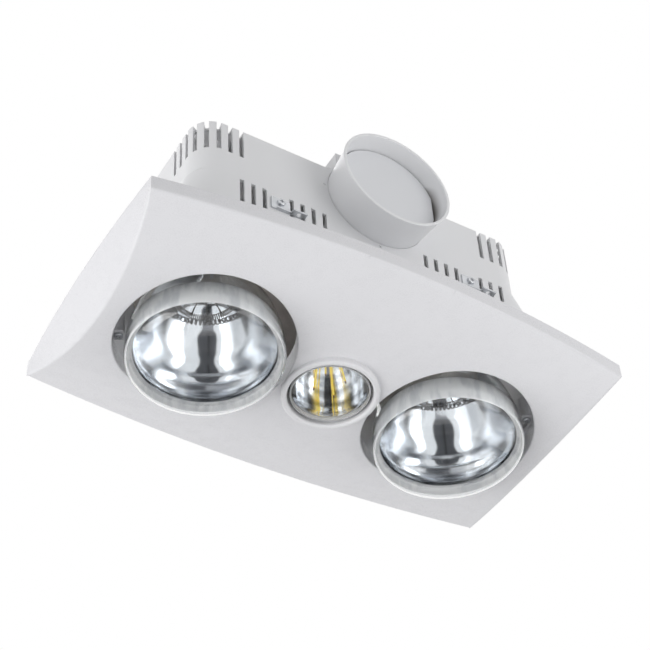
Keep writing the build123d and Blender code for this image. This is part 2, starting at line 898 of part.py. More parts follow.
# Screw cap with a round thread, its insulator and its centre contact
def cap_form(x, y, seal_z, end_z):
    thread_top = end_z - contact_height - cap_insulator
    turns = int((thread_top - seal_z) / cap_pitch)
    outline = [(cap_r - cap_thread, seal_z)]
    for turn in range(turns):
        outline.append((cap_r, seal_z + (turn + 0.5) * cap_pitch))
        outline.append((cap_r - cap_thread, seal_z + (turn + 1) * cap_pitch))
    outline += [
        (cap_r - cap_thread, thread_top),
        (contact_r + contact_height, end_z - contact_height),
        (contact_r, end_z - contact_height),
        (contact_r, end_z),
        (0, end_z),
        (0, seal_z + seal_rise + seat_gap),
        (seal_r + seat_gap, seal_z + seal_rise + seat_gap),
        (seal_r + seat_gap, seal_z),
    ]
    return turned(x, y, outline)


# Stem inside a lamp: foot on the seal, rod and a bead at its lower end
def stem_form(x, y, seal_z, length):
    top = seal_z + seal_rise - glass_wall - seat_gap
    foot_r = stem_foot_r - glass_wall
    bead = top - length
    return turned(x, y, [
        (0, top),
        (foot_r, top),
        (foot_r, top - stem_foot),
        (stem_r, top - 2 * stem_foot),
        (stem_r, bead + stem_bead),
        (stem_foot_r, bead + stem_bead),
        (stem_foot_r, bead),
        (0, bead),
    ])


heat_bulb = (lamp_max_r, lamp_max_z, lamp_apex, lamp_neck_r, lamp_neck_z, lamp_seal_z)
spot_bulb = (spot_max_r, spot_max_z, spot_apex, spot_neck_r, spot_neck_z, spot_seal_z)
bead_z = lamp_seal_z + seal_rise - glass_wall - seat_gap - stem_length
spot_bead_z = spot_seal_z + seal_rise - glass_wall - seat_gap - spot_stem_length
lamps = (
    ("left_lamp", -lamp_x, heat_bulb, lamp_end_z, stem_length),
    ("centre_lamp", 0, spot_bulb, spot_end_z, spot_stem_length),
    ("right_lamp", lamp_x, heat_bulb, lamp_end_z, stem_length),
)
for name, x, bulb, end_z, rod in lamps:
    with BuildPart() as lamp_glass:
        add(glass_form(x, lamp_y, bulb, 0))
        add(glass_form(x, lamp_y, bulb, glass_wall), mode=Mode.SUBTRACT)
    lamp_glass.part.label = name + "_glass"
    export_step(lamp_glass.part, "parts/" + name + "_glass.step")
    lamp_cap = cap_form(x, lamp_y, bulb[-1], end_z)
    lamp_cap.label = name + "_cap"
    export_step(lamp_cap, "parts/" + name + "_cap.step")
    lamp_stem = stem_form(x, lamp_y, bulb[-1], rod)
    lamp_stem.label = name + "_stem"
    export_step(lamp_stem, "parts/" + name + "_stem.step")

# Filament of a heat lamp: a coil bent into a ring, held by legs spread from the bead
for name, x in (("left_lamp", -lamp_x), ("right_lamp", lamp_x)):
    ring_z = bead_z - coil_drop
    splay = atan2(coil_ring_r - leg_circle, coil_drop)
    with BuildPart() as filament:
        with BuildSketch(Plane((x + coil_ring_r, lamp_y, ring_z), z_dir=(0, 1, 0))):
            Circle(coil_r)
        revolve(axis=Axis((x, lamp_y, ring_z), (0, 0, 1)))
        for turn in range(leg_count):
            angle = 2 * pi * turn / leg_count
            foot = Vector(
                x + leg_circle * cos(angle),
                lamp_y + leg_circle * sin(angle),
                bead_z - seat_gap - leg_r * sin(splay),
            )
            end = Vector(
                x + coil_ring_r * cos(angle), lamp_y + coil_ring_r * sin(angle), ring_z
            )
            with BuildSketch(Plane(origin=foot, z_dir=end - foot)):
                Circle(leg_r)
            extrude(amount=(end - foot).length)
    filament.part.label = name + "_filament"
    export_step(filament.part, "parts/" + name + "_filament.step")

# Filament sticks of the centre lamp, spread from the bead towards the lens
with BuildPart() as centre_lamp_filaments:
    for turn in range(stick_count):
        angle = 45 + turn * 360 / stick_count
        foot = Vector(
            stick_circle * cos(radians(angle)),
            lamp_y + stick_circle * sin(radians(angle)),
            spot_bead_z - seat_gap - stick_r * sin(radians(stick_tilt)),
        )
        lean = Vector(
            sin(radians(stick_tilt)) * cos(radians(angle)),
            sin(radians(stick_tilt)) * sin(radians(angle)),
            -cos(radians(stick_tilt)),
        )
        with BuildSketch(Plane(origin=foot, z_dir=lean)):
            Circle(stick_r)
        extrude(amount=stick_length)
centre_lamp_filaments.part.label = "centre_lamp_filaments"
export_step(centre_lamp_filaments.part, "parts/centre_lamp_filaments.step")


# Ceramic holder round a lamp's cap, open below
def holder_form(x, radius, length, end_z, top):
    bore = cap_r + holder_bore_gap
    floor = end_z + seat_gap
    with BuildPart() as holder:
        add(turned(x, lamp_y, [
            (bore, top - length),
            (radius, top - length),
            (radius, top),
            (0, top),
            (0, floor),
            (bore, floor),
        ]))
        with BuildSketch(Plane.XY.offset(top)):
            with Locations((x, lamp_y)):
                Circle(hanger_screw_r + shaft_gap)
        extrude(amount=-hanger_screw_length, mode=Mode.SUBTRACT)
    return holder.part


# Hat-shaped strap: a plate at one height, legs, and feet against the seat
def hanger_form(plane, half_span, plate_z, seat_z):
    knee = half_span - hanger_foot
    foot_z = seat_z - hanger_sheet / 2 if seat_z > plate_z else seat_z + hanger_sheet / 2
    mid_z = plate_z + hanger_sheet / 2
    with BuildPart() as hanger:
        with BuildSketch(plane):
            with Locations((0, mid_z)):
                Rectangle(2 * knee, hanger_sheet)
            with Locations((-knee, (mid_z + foot_z) / 2), (knee, (mid_z + foot_z) / 2)):
                Rectangle(hanger_sheet, abs(foot_z - mid_z) + hanger_sheet)
            with Locations((-knee - hanger_foot / 2, foot_z), (knee + hanger_foot / 2, foot_z)):
                Rectangle(hanger_foot + hanger_sheet, hanger_sheet)
        extrude(amount=hanger_width / 2, both=True)
    return hanger.part


shield_top = shield_z + shield_sheet
hanger_plate_z = roof_under - hanger_drop
spot_holder_top = spot_end_z + seat_gap + holder_length / 4
spot_feet = [
    (0, lamp_y - spot_hanger_half_span + hanger_foot / 2),
    (0, lamp_y + spot_hanger_half_span - hanger_foot / 2),
]
holders = (
    ("left_lamp", -lamp_x, holder_r, holder_length, lamp_end_z, hanger_plate_z - seat_gap),
    ("centre_lamp", 0, spot_holder_r, spot_holder_length, spot_end_z, spot_holder_top),
    ("right_lamp", lamp_x, holder_r, holder_length, lamp_end_z, hanger_plate_z - seat_gap),
)
holder_screw_places = []
for name, x, radius, length, end_z, top in holders:
    lamp_holder = holder_form(x, radius, length, end_z, top)
    lamp_holder.label = name + "_holder"
    export_step(lamp_holder, "parts/" + name + "_holder.step")
    holder_screw_places.append((x, lamp_y, top + seat_gap + hanger_sheet))
    if x:
        strap_plane = Plane((x, lamp_y, 0), x_dir=(1, 0, 0), z_dir=(0, -1, 0))
        strap = hanger_form(strap_plane, hanger_half_span, top + seat_gap, roof_under - seat_gap)
        feet = [(x - hanger_half_span + hanger_foot / 2, lamp_y)]
        feet.append((x + hanger_half_span - hanger_foot / 2, lamp_y))
    else:
        strap_plane = Plane((0, lamp_y, 0), x_dir=(0, 1, 0), z_dir=(1, 0, 0))
        strap = hanger_form(strap_plane, spot_hanger_half_span, top + seat_gap, shield_top + seat_gap)
        feet = spot_feet
    with BuildPart() as lamp_hanger:
        add(strap)
        with BuildSketch(Plane.XY.offset(shield_z)):
            with Locations((x, lamp_y), *feet):
                Circle(hanger_screw_r + shaft_gap)
        extrude(amount=box_top, mode=Mode.SUBTRACT)
    lamp_hanger.part.label = name + "_hanger"
    export_step(lamp_hanger.part, "parts/" + name + "_hanger.step")

hanger_screw = cross_screw(
    hanger_screw_head_r, hanger_screw_head, hanger_screw_r, hanger_screw_length
)
with BuildPart() as holder_screws:
    with Locations(*holder_screw_places):
        add(hanger_screw)
holder_screws.part.label = "holder_screws"
export_step(holder_screws.part, "parts/holder_screws.step")

with BuildPart() as hanger_screws:
    with Locations(*[
        Location((x, y, roof_under - seat_gap - hanger_sheet), (180, 0, 0)) for x, y in hanger_feet
    ]):
        add(hanger_screw)
    with Locations(*[(x, y, shield_top + seat_gap + hanger_sheet) for x, y in spot_feet]):
        add(hanger_screw)
hanger_screws.part.label = "hanger_screws"
export_step(hanger_screws.part, "parts/hanger_screws.step")

# Heat shield under the fan, with round openings for the three lamps
cutout_places = [(side * lamp_x / 2, lamp_y + shield_half_width / 2) for side in (-1, 1)]
earth_x = wiring_x + pole_pitch
with BuildPart() as heat_shield:
    with BuildSketch(Plane.XY.offset(shield_z)):
        with Locations((0, lamp_y)):
            RectangleRounded(2 * shield_half_length, 2 * shield_half_width, shield_corner_r)
            Circle(shield_spot_hole_r, mode=Mode.SUBTRACT)
        with Locations(*lamp_places):
            Circle(shield_hole_r, mode=Mode.SUBTRACT)
        with Locations(*post_places, *spot_feet):
            Circle(hanger_screw_r + shaft_gap, mode=Mode.SUBTRACT)
        with Locations((earth_x, earth_y)):
            Circle(earth_screw_r + shaft_gap, mode=Mode.SUBTRACT)
    extrude(amount=shield_sheet)
heat_shield.part.label = "heat_shield"
export_step(heat_shield.part, "parts/heat_shield.step")

shield_screw = cross_screw(
    hanger_screw_head_r, hanger_screw_head, hanger_screw_r, shield_screw_length
)
with BuildPart() as casing_screws:
    with Locations(*[Location((x, y, shield_z), (180, 0, 0)) for x, y in post_places]):
        add(shield_screw)
    with Locations(*[Location((x, y, lid_z), (180, 0, 0)) for x, y in lid_posts]):
        add(shield_screw)
casing_screws.part.label = "casing_screws"
export_step(casing_screws.part, "parts/casing_screws.step")

with BuildPart() as thermal_cutouts:
    with BuildSketch(Plane.XY.offset(shield_top)):
        with Locations(*cutout_places):
            Circle(cutout_r)
    extrude(amount=cutout_flange)
    with BuildSketch(Plane.XY.offset(shield_top + cutout_flange)):
        with Locations(*cutout_places):
            Circle(cutout_r - cutout_flange)
    extrude(amount=cutout_height)
thermal_cutouts.part.label = "thermal_cutouts"
export_step(thermal_cutouts.part, "parts/thermal_cutouts.step")

with BuildPart() as earth_screw:
    with Locations((earth_x, earth_y, shield_top + earth_washer)):
        add(cross_screw(
            earth_screw_head_r, earth_screw_head, earth_screw_r, 2 * earth_washer + shield_sheet
        ))
    with BuildSketch(Plane.XY.offset(shield_top)):
        with Locations((earth_x, earth_y)):
            Circle(earth_screw_head_r)
    extrude(amount=earth_washer)
earth_screw.part.label = "earth_screw"
export_step(earth_screw.part, "parts/earth_screw.step")


# Plan of the fan casing: a spiral that opens into a straight channel towards the duct
def scroll_plan(inset, mouth):
    spiral = []
    for step in range(scroll_steps + 1):
        angle = radians(scroll_sweep * step / scroll_steps)
        radius = scroll_start_r - (scroll_start_r - scroll_end_r) * step / scroll_steps - inset
        spiral.append((fan_x + radius * cos(angle), fan_y + radius * sin(angle)))
    tongue_x = fan_x + scroll_end_r * cos(radians(scroll_sweep)) + inset
    side_x = fan_x + scroll_start_r - inset
    with BuildSketch() as plan:
        with BuildLine():
            Spline(*spiral, tangents=((0, 1), (-sin(angle), cos(angle))))
            Polyline(
                spiral[-1],
                (tongue_x, spiral[-1][1] - scroll_wall),
                (tongue_x, mouth),
                (side_x, mouth),
                spiral[0],
            )
        make_face()
    return plan.sketch


# Part of the round plate that closes the duct's root between two heights
def mouth_plate(low, high):
    with BuildPart() as plate:
        with BuildSketch(Plane((duct_x, scroll_mouth_y, duct_z), x_dir=(1, 0, 0), z_dir=(0, -1, 0))):
            Circle(duct_seal_r)
            with Locations((0, high - duct_z + duct_seal_r)):
                Rectangle(2 * duct_seal_r, 2 * duct_seal_r, mode=Mode.SUBTRACT)
            with Locations((0, low - duct_z - duct_seal_r)):
                Rectangle(2 * duct_seal_r, 2 * duct_seal_r, mode=Mode.SUBTRACT)
        extrude(amount=-scroll_wall)
        hood_inner = housing_wall + 2 * seat_gap
        for edge in (hood_left + hood_inner - duct_seal_r, hood_right - hood_inner + duct_seal_r):
            with BuildSketch(Plane.XY.offset(roof_under - seat_gap)):
                with Locations((edge, scroll_mouth_y)):
                    Rectangle(2 * duct_seal_r, 4 * scroll_wall)
            extrude(amount=duct_seal_r, mode=Mode.SUBTRACT)
    return plate.part


outer_plan = scroll_plan(0, scroll_mouth_y)
inner_plan = scroll_plan(scroll_wall, scroll_mouth_y - scroll_wall)
with BuildPart() as fan_scroll:
    with BuildSketch(Plane.XY.offset(scroll_floor)):
        add(outer_plan)
    extrude(amount=scroll_height)
    with BuildSketch(Plane.XY.offset(scroll_floor + scroll_wall)):
        add(inner_plan)
    extrude(amount=scroll_height, mode=Mode.SUBTRACT)
    add(mouth_plate(duct_z - duct_seal_r, scroll_floor + scroll_wall))
    with BuildSketch(Plane.XY.offset(scroll_floor)):
        with Locations((fan_x, fan_y)):
            Circle(inlet_r)
    extrude(amount=scroll_wall, mode=Mode.SUBTRACT)
fan_scroll.part.label = "fan_scroll"
export_step(fan_scroll.part, "parts/fan_scroll.step")

mount_places = [(fan_x + side * motor_bolt_spacing / 2, fan_y) for side in (-1, 1)]
with BuildPart() as scroll_lid:
    with BuildSketch(Plane.XY.offset(lid_z)):
        add(outer_plan)
    extrude(amount=scroll_wall)
    add(mouth_plate(lid_z, duct_z + duct_seal_r))
    with BuildSketch(Plane.XY.offset(lid_z)):
        with Locations((fan_x, fan_y)):
            Circle(2 * shaft_r)
        with Locations(*mount_places):
            Circle(motor_bolt_r + shaft_gap)
        with Locations(*lid_posts):
            Circle(hanger_screw_r + shaft_gap)
    extrude(amount=scroll_wall, mode=Mode.SUBTRACT)
scroll_lid.part.label = "scroll_lid"
export_step(scroll_lid.part, "parts/scroll_lid.step")

# Impeller: ring, tilted blades, top plate and hub
impeller_low = scroll_floor + scroll_wall + impeller_floor_gap
impeller_top = impeller_low + impeller_height
with BuildPart() as impeller:
    with BuildSketch(Plane.XY.offset(impeller_low)):
        with Locations((fan_x, fan_y)):
            Circle(impeller_r)
            Circle(impeller_r - impeller_ring_width, mode=Mode.SUBTRACT)
    extrude(amount=impeller_ring)
    with BuildSketch(Plane.XY.offset(impeller_low)):
        with Locations((fan_x, fan_y)):
            with PolarLocations(impeller_r - blade_depth / 2, blade_count):
                Rectangle(blade_depth, blade_thickness, rotation=blade_tilt)
    extrude(amount=impeller_height)
    with BuildSketch(Plane.XY.offset(impeller_top - impeller_plate)):
        with Locations((fan_x, fan_y)):
            Circle(impeller_r)
    extrude(amount=impeller_plate)
    with BuildSketch(Plane.XY.offset(impeller_top - hub_height)):
        with Locations((fan_x, fan_y)):
            Circle(hub_r)
    extrude(amount=hub_height)
    with BuildSketch(Plane.XY.offset(impeller_low)):
        with Locations((fan_x, fan_y)):
            Circle(shaft_r + shaft_gap)
    extrude(amount=impeller_height, mode=Mode.SUBTRACT)
impeller.part.label = "impeller"
export_step(impeller.part, "parts/impeller.step")

nut_low = impeller_top - hub_height - nut_height
with BuildPart() as impeller_nut:
    with BuildSketch(Plane.XY.offset(nut_low)):
        with Locations((fan_x, fan_y)):
            RegularPolygon(nut_r, 6)
            Circle(shaft_r + shaft_gap, mode=Mode.SUBTRACT)
    extrude(amount=nut_height)
impeller_nut.part.label = "impeller_nut"
export_step(impeller_nut.part, "parts/impeller_nut.step")

shaft_low = nut_low - nut_height / 2
shaft_top = upper_strap_z + strap_sheet
with BuildPart() as rotor_shaft:
    with BuildSketch(Plane.XY.offset(shaft_low)):
        with Locations((fan_x, fan_y)):
            Circle(shaft_r)
    extrude(amount=shaft_top - shaft_low)
    chamfer(rotor_shaft.edges().filter_by(GeomType.CIRCLE), shaft_r / 5)
rotor_shaft.part.label = "rotor_shaft"
export_step(rotor_shaft.part, "parts/rotor_shaft.step")

with BuildPart() as motor_rotor:
    with BuildSketch(Plane.XY.offset(stator_z)):
        with Locations((fan_x, fan_y)):
            Circle(rotor_r)
            Circle(shaft_r + shaft_gap, mode=Mode.SUBTRACT)
    extrude(amount=stator_height)
motor_rotor.part.label = "motor_rotor"
export_step(motor_rotor.part, "parts/motor_rotor.step")

with BuildPart() as motor_stator:
    with BuildSketch(Plane.XY.offset(stator_z)):
        with Locations((fan_x, fan_y)):
            RectangleRounded(stator_length, stator_width, stator_corner_r)
            Circle(rotor_r + air_gap, mode=Mode.SUBTRACT)
        with Locations(*mount_places):
            Circle(motor_bolt_r + shaft_gap, mode=Mode.SUBTRACT)
    extrude(amount=stator_height)
motor_stator.part.label = "motor_stator"
export_step(motor_stator.part, "parts/motor_stator.step")

with BuildPart() as motor_coils:
    for z in (stator_z - coil_thickness, stator_z + stator_height):
        with BuildSketch(Plane.XY.offset(z)):
            with Locations((fan_x, fan_y)):
                Circle(coil_outer_r)
                Circle(coil_inner_r, mode=Mode.SUBTRACT)
        extrude(amount=coil_thickness)
motor_coils.part.label = "motor_coils"
export_step(motor_coils.part, "parts/motor_coils.step")


# End strap of the motor with a raised seat for its bearing
def motor_strap(z, boss_z):
    boss_r = bearing_r + shaft_gap + boss_wall
    with BuildPart() as strap:
        with BuildSketch(Plane.XY.offset(z)):
            with Locations((fan_x, fan_y)):
                SlotCenterToCenter(motor_bolt_spacing, strap_width)
        extrude(amount=strap_sheet)
        with BuildSketch(Plane.XY.offset(boss_z)):
            with Locations((fan_x, fan_y)):
                Circle(boss_r)
        extrude(amount=bearing_height)
        with BuildSketch(Plane.XY.offset(boss_z)):
            with Locations((fan_x, fan_y)):
                Circle(bearing_r + shaft_gap)
        extrude(amount=bearing_height, mode=Mode.SUBTRACT)
        with BuildSketch(Plane.XY.offset(z)):
            with Locations(*mount_places):
                Circle(motor_bolt_r + shaft_gap)
        extrude(amount=strap_sheet, mode=Mode.SUBTRACT)
    return strap.part


upper_boss_z = upper_strap_z + strap_sheet - bearing_height
straps = (
    ("lower", lower_strap_z, lower_strap_z),
    ("upper", upper_strap_z, upper_boss_z),
)
for name, z, boss_z in straps:
    end_strap = motor_strap(z, boss_z)
    end_strap.label = "motor_" + name + "_strap"
    export_step(end_strap, "parts/motor_" + name + "_strap.step")
    with BuildPart() as bearing:
        with BuildSketch(Plane.XY.offset(boss_z)):
            with Locations((fan_x, fan_y)):
                Circle(bearing_r)
                Circle(shaft_r + shaft_gap, mode=Mode.SUBTRACT)
        extrude(amount=bearing_height)
    bearing.part.label = "motor_" + name + "_bearing"
    export_step(bearing.part, "parts/motor_" + name + "_bearing.step")

with BuildPart() as motor_spacers:
    for z in (lower_strap_z + strap_sheet, stator_z + stator_height):
        with BuildSketch(Plane.XY.offset(z)):
            with Locations(*mount_places):
                Circle(spacer_r)
                Circle(motor_bolt_r + shaft_gap, mode=Mode.SUBTRACT)
        extrude(amount=stator_gap)
motor_spacers.part.label = "motor_spacers"
export_step(motor_spacers.part, "parts/motor_spacers.step")

with BuildPart() as motor_mounts:
    with BuildSketch(Plane.XY.offset(lid_top)):
        with Locations(*mount_places):
            Circle(mount_r)
            Circle(motor_bolt_r + shaft_gap, mode=Mode.SUBTRACT)
    extrude(amount=mount_height)
motor_mounts.part.label = "motor_mounts"
export_step(motor_mounts.part, "parts/motor_mounts.step")

bolt_length = shaft_top - lid_z
with BuildPart() as motor_bolts:
    with Locations(*[(x, y, shaft_top) for x, y in mount_places]):
        add(cross_screw(motor_bolt_head_r, motor_bolt_head, motor_bolt_r, bolt_length))
motor_bolts.part.label = "motor_bolts"
export_step(motor_bolts.part, "parts/motor_bolts.step")

# Terminal block on two feet over the hole where the leads come up
pole_places = [
    (wiring_x + (pole - (pole_count - 1) / 2) * pole_pitch, wiring_y)
    for pole in range(pole_count)
]
pole_screw_places = [
    (x, y + side * block_width / 4) for x, y in pole_places for side in (-1, 1)
]
block_top = block_z + block_height
with BuildPart() as terminal_block:
    with BuildSketch(Plane.XY.offset(block_z)):
        with Locations((wiring_x, wiring_y)):
            Rectangle(block_length, block_width)
    extrude(amount=block_height)
    with BuildSketch(Plane.XY.offset(box_top)):
        for side in (-1, 1):
            with Locations((wiring_x + side * (block_length - block_foot) / 2, wiring_y)):
                Rectangle(block_foot, block_width)
    extrude(amount=block_foot)
    with BuildSketch(Plane.XY.offset(block_top)):
        with Locations(*pole_screw_places):
            Circle(pole_screw_r + shaft_gap)
    extrude(amount=-block_height / 2, mode=Mode.SUBTRACT)
    with BuildSketch(Plane.XY.offset(block_top)):
        for x, y in pole_places[1:]:
            with Locations((x - pole_pitch / 2, y)):
                Rectangle(cover_wall / 2, block_width)
    extrude(amount=-block_height / 3, mode=Mode.SUBTRACT)
terminal_block.part.label = "terminal_block"
export_step(terminal_block.part, "parts/terminal_block.step")

with BuildPart() as terminal_screws:
    with BuildSketch(Plane.XY.offset(block_top - block_height / 2)):
        with Locations(*pole_screw_places):
            Circle(pole_screw_r)
    extrude(amount=pole_screw_head)
    with BuildSketch(Plane.XY.offset(block_top - block_height / 2 + pole_screw_head)):
        with Locations(*pole_screw_places):
            Rectangle(2 * pole_screw_r, pole_screw_r / 2)
    extrude(amount=-pole_screw_head / 3, mode=Mode.SUBTRACT)
terminal_screws.part.label = "terminal_screws"
export_step(terminal_screws.part, "parts/terminal_screws.step")

# Cover over the terminals, with an ear on each long side and a hole for the gland
cover_x = wiring_x + cover_shift
gland_x = wiring_x + gland_shift
gland_z = box_top + cover_height / 2
gland_wall_y = wiring_y + cover_width / 2
with BuildPart() as wiring_cover:
    with BuildSketch(Plane.XY.offset(box_top)):
        with Locations((cover_x, wiring_y)):
            RectangleRounded(cover_length, cover_width, cover_corner_r)
    extrude(amount=cover_height)
    fillet(wiring_cover.faces().sort_by(Axis.Z)[-1].edges(), cover_wall)
    with BuildSketch(Plane.XY.offset(box_top)):
        for (x, y), end in zip(ear_places, (-1, 1)):
            with Locations((x, y - end * cover_ear / 4)):
                Rectangle(cover_ear, 1.5 * cover_ear)
    extrude(amount=cover_wall)
    with BuildSketch(Plane.XY.offset(box_top)):
        with Locations((cover_x, wiring_y)):
            RectangleRounded(
                cover_length - 2 * cover_wall,
                cover_width - 2 * cover_wall,
                cover_corner_r - cover_wall,
            )
    extrude(amount=cover_height - cover_wall, mode=Mode.SUBTRACT)
    with BuildSketch(Plane.XY.offset(box_top)):
        with Locations(*ear_places):
            Circle(cover_screw_r + shaft_gap)
    extrude(amount=cover_wall, mode=Mode.SUBTRACT)
    with BuildSketch(Plane((gland_x, gland_wall_y, gland_z), x_dir=(-1, 0, 0), z_dir=(0, 1, 0))):
        Circle(gland_r + shaft_gap)
    extrude(amount=-cover_wall, mode=Mode.SUBTRACT)
wiring_cover.part.label = "wiring_cover"
export_step(wiring_cover.part, "parts/wiring_cover.step")

cover_screw = cross_screw(hanger_screw_head_r, hanger_screw_head, cover_screw_r, hanger_screw_length)
with BuildPart() as wiring_cover_screws:
    with Locations(*[(x, y, box_top + cover_wall) for x, y in ear_places]):
        add(cover_screw)
wiring_cover_screws.part.label = "wiring_cover_screws"
export_step(wiring_cover_screws.part, "parts/wiring_cover_screws.step")

gland_plane = Plane((gland_x, gland_wall_y, gland_z), x_dir=(-1, 0, 0), z_dir=(0, 1, 0))
gland_tail = cover_wall + gland_nut + gland_flange / 4
with BuildPart() as cable_gland:
    with BuildSketch(gland_plane):
        RegularPolygon(gland_flange_r, 6)
    extrude(amount=gland_flange)
    with BuildSketch(gland_plane):
        Circle(gland_r)
    extrude(amount=gland_reach)
    fillet(cable_gland.faces().sort_by(Axis.Y)[-1].edges(), gland_flange / 2)
    with BuildSketch(gland_plane):
        Circle(gland_r)
    extrude(amount=-gland_tail)
    with BuildSketch(gland_plane.offset(gland_reach)):
        Circle(gland_bore_r)
    extrude(amount=-gland_reach - gland_tail, mode=Mode.SUBTRACT)
cable_gland.part.label = "cable_gland"
export_step(cable_gland.part, "parts/cable_gland.step")

with BuildPart() as gland_nut_ring:
    with BuildSketch(gland_plane.offset(-cover_wall)):
        RegularPolygon(gland_nut_r, 6)
        Circle(gland_r + shaft_gap, mode=Mode.SUBTRACT)
    extrude(amount=-gland_nut)
gland_nut_ring.part.label = "gland_nut"
export_step(gland_nut_ring.part, "parts/gland_nut.step")

with BuildPart() as lead_grommet:
    with BuildSketch(Plane.XY.offset(box_top)):
        with Locations((wiring_x, wiring_y)):
            SlotOverall(grommet_length + 2 * grommet_lip, grommet_width + 2 * grommet_lip)
    extrude(amount=grommet_seat)
    with BuildSketch(Plane.XY.offset(grommet_low)):
        with Locations((wiring_x, wiring_y)):
            SlotOverall(grommet_length - 2 * seat_gap, grommet_width - 2 * seat_gap)
    extrude(amount=housing_wall + grommet_seat)
    with BuildSketch(Plane.XY.offset(grommet_low)):
        with Locations(*pole_places):
            Circle(lead_r + shaft_gap)
    extrude(amount=housing_wall + 2 * grommet_seat, mode=Mode.SUBTRACT)
lead_grommet.part.label = "lead_grommet"
export_step(lead_grommet.part, "parts/lead_grommet.step")

# Leads run from the block's underside to the lamps, the motor and the earth screw
lead_x = [x for x, y in pole_places]
coil_z = stator_z - coil_thickness / 2
holder_y = lamp_y + holder_r + lead_end_gap / 2
roof_run_z = roof_under - 5.5 * lead_r
entry_z = lamp_end_z + 5 * lead_r
far_run_y = box_far - 2 * housing_wall - 4 * lead_r
shield_run_z = shield_top + 5 * lead_r
drop_z = (lid_z + shield_top) / 2
coil_turn = radians(40)
coil_x = fan_x + (coil_outer_r + lead_end_gap) * cos(coil_turn)
coil_y = fan_y + (coil_outer_r + lead_end_gap) * sin(coil_turn)
leads = {
    "left_lamp_lead": [
        (lead_x[0], wiring_y, block_z),
        (lead_x[0], wiring_y, roof_run_z),
        (lead_x[0], far_run_y, roof_run_z),
        (-lamp_x, far_run_y, roof_run_z),
        (-lamp_x, holder_y + holder_r + 6 * lead_r, entry_z),
        (-lamp_x, holder_y, entry_z),
    ],
    "motor_lead": [
        (lead_x[1], wiring_y, block_z),
        (lead_x[1], wiring_y, roof_run_z),
        (fan_x + motor_bolt_spacing, wiring_y - 3 * lead_r, roof_run_z),
        (coil_x, coil_y, coil_z),
    ],
    "centre_lamp_lead": [
        (lead_x[2], wiring_y, block_z),
        (lead_x[2], wiring_y, drop_z),
        (fan_x + scroll_start_r + spot_holder_r, lamp_y + spot_holder_r / 2, shield_run_z),
        (spot_holder_r + lead_end_gap, lamp_y, shield_run_z),
    ],
    "earth_lead": [
        (lead_x[3], wiring_y, block_z),
        (lead_x[3], wiring_y, shield_run_z + lead_r),
        (lead_x[3], earth_y - earth_screw_head_r - lead_end_gap, shield_top + lead_r + seat_gap),
    ],
    "right_lamp_lead": [
        (lead_x[4], wiring_y, block_z),
        (lead_x[4], wiring_y, entry_z),
        (lamp_x, holder_y, entry_z),
    ],
}
for node, names in (
    ("lamp_leads", ("left_lamp_lead", "centre_lamp_lead", "right_lamp_lead")),
    ("motor_lead", ("motor_lead",)),
    ("earth_lead", ("earth_lead",)),
):
    with BuildPart() as lead_group:
        for name in names:
            add(lead_along([Vector(*place) for place in leads[name]]))
    lead_group.part.label = node
    export_step(lead_group.part, "parts/" + node + ".step")
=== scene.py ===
import json
import math
import bmesh
import bpy
import numpy as np
from mathutils import Matrix, Vector


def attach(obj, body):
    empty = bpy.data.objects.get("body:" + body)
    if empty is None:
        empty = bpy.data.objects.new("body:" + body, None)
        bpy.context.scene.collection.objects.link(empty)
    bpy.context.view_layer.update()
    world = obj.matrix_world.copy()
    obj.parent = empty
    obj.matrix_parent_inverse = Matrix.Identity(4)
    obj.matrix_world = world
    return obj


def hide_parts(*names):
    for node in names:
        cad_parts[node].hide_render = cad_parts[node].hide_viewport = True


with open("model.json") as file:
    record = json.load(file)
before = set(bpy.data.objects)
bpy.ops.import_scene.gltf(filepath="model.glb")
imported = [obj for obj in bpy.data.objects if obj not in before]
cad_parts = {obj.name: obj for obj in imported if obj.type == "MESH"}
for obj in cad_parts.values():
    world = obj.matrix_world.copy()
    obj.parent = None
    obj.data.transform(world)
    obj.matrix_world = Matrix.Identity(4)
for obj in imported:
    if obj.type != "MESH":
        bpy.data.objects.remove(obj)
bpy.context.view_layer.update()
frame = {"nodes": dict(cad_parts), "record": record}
cadNodes = frame["nodes"]
mm = 0.001
fullTurn = 2 * math.pi
print("frame loaded:", len(cadNodes), "CAD nodes")


# Shader maths: a socket that can be added, multiplied and raised like a number
class Socket:
    def __init__(self, shade, out):
        self.shade = shade
        self.out = out

    def math(self, operation, first, second=0.0):
        return self.shade.node("ShaderNodeMath", {"operation": operation}, [first, second])

    def __add__(self, other):
        return self.math("ADD", self, other)

    def __radd__(self, other):
        return self.math("ADD", other, self)

    def __sub__(self, other):
        return self.math("SUBTRACT", self, other)

    def __rsub__(self, other):
        return self.math("SUBTRACT", other, self)

    def __mul__(self, other):
        return self.math("MULTIPLY", self, other)

    def __rmul__(self, other):
        return self.math("MULTIPLY", other, self)

    def __truediv__(self, other):
        return self.math("DIVIDE", self, other)

    def __pow__(self, other):
        return self.math("POWER", self, other)

    def __abs__(self):
        return self.math("ABSOLUTE", self)

    def sine(self):
        return self.math("SINE", self)

    def clamp(self):
        return self.shade.node("ShaderNodeClamp", {}, [self])

    # 0 up to low, 1 from high on, and a smooth rise between them
    def step(self, low, high):
        settings = {"interpolation_type": "SMOOTHSTEP"}
        return self.shade.node("ShaderNodeMapRange", settings, {0: self, 1: low, 2: high, 3: 0.0, 4: 1.0})


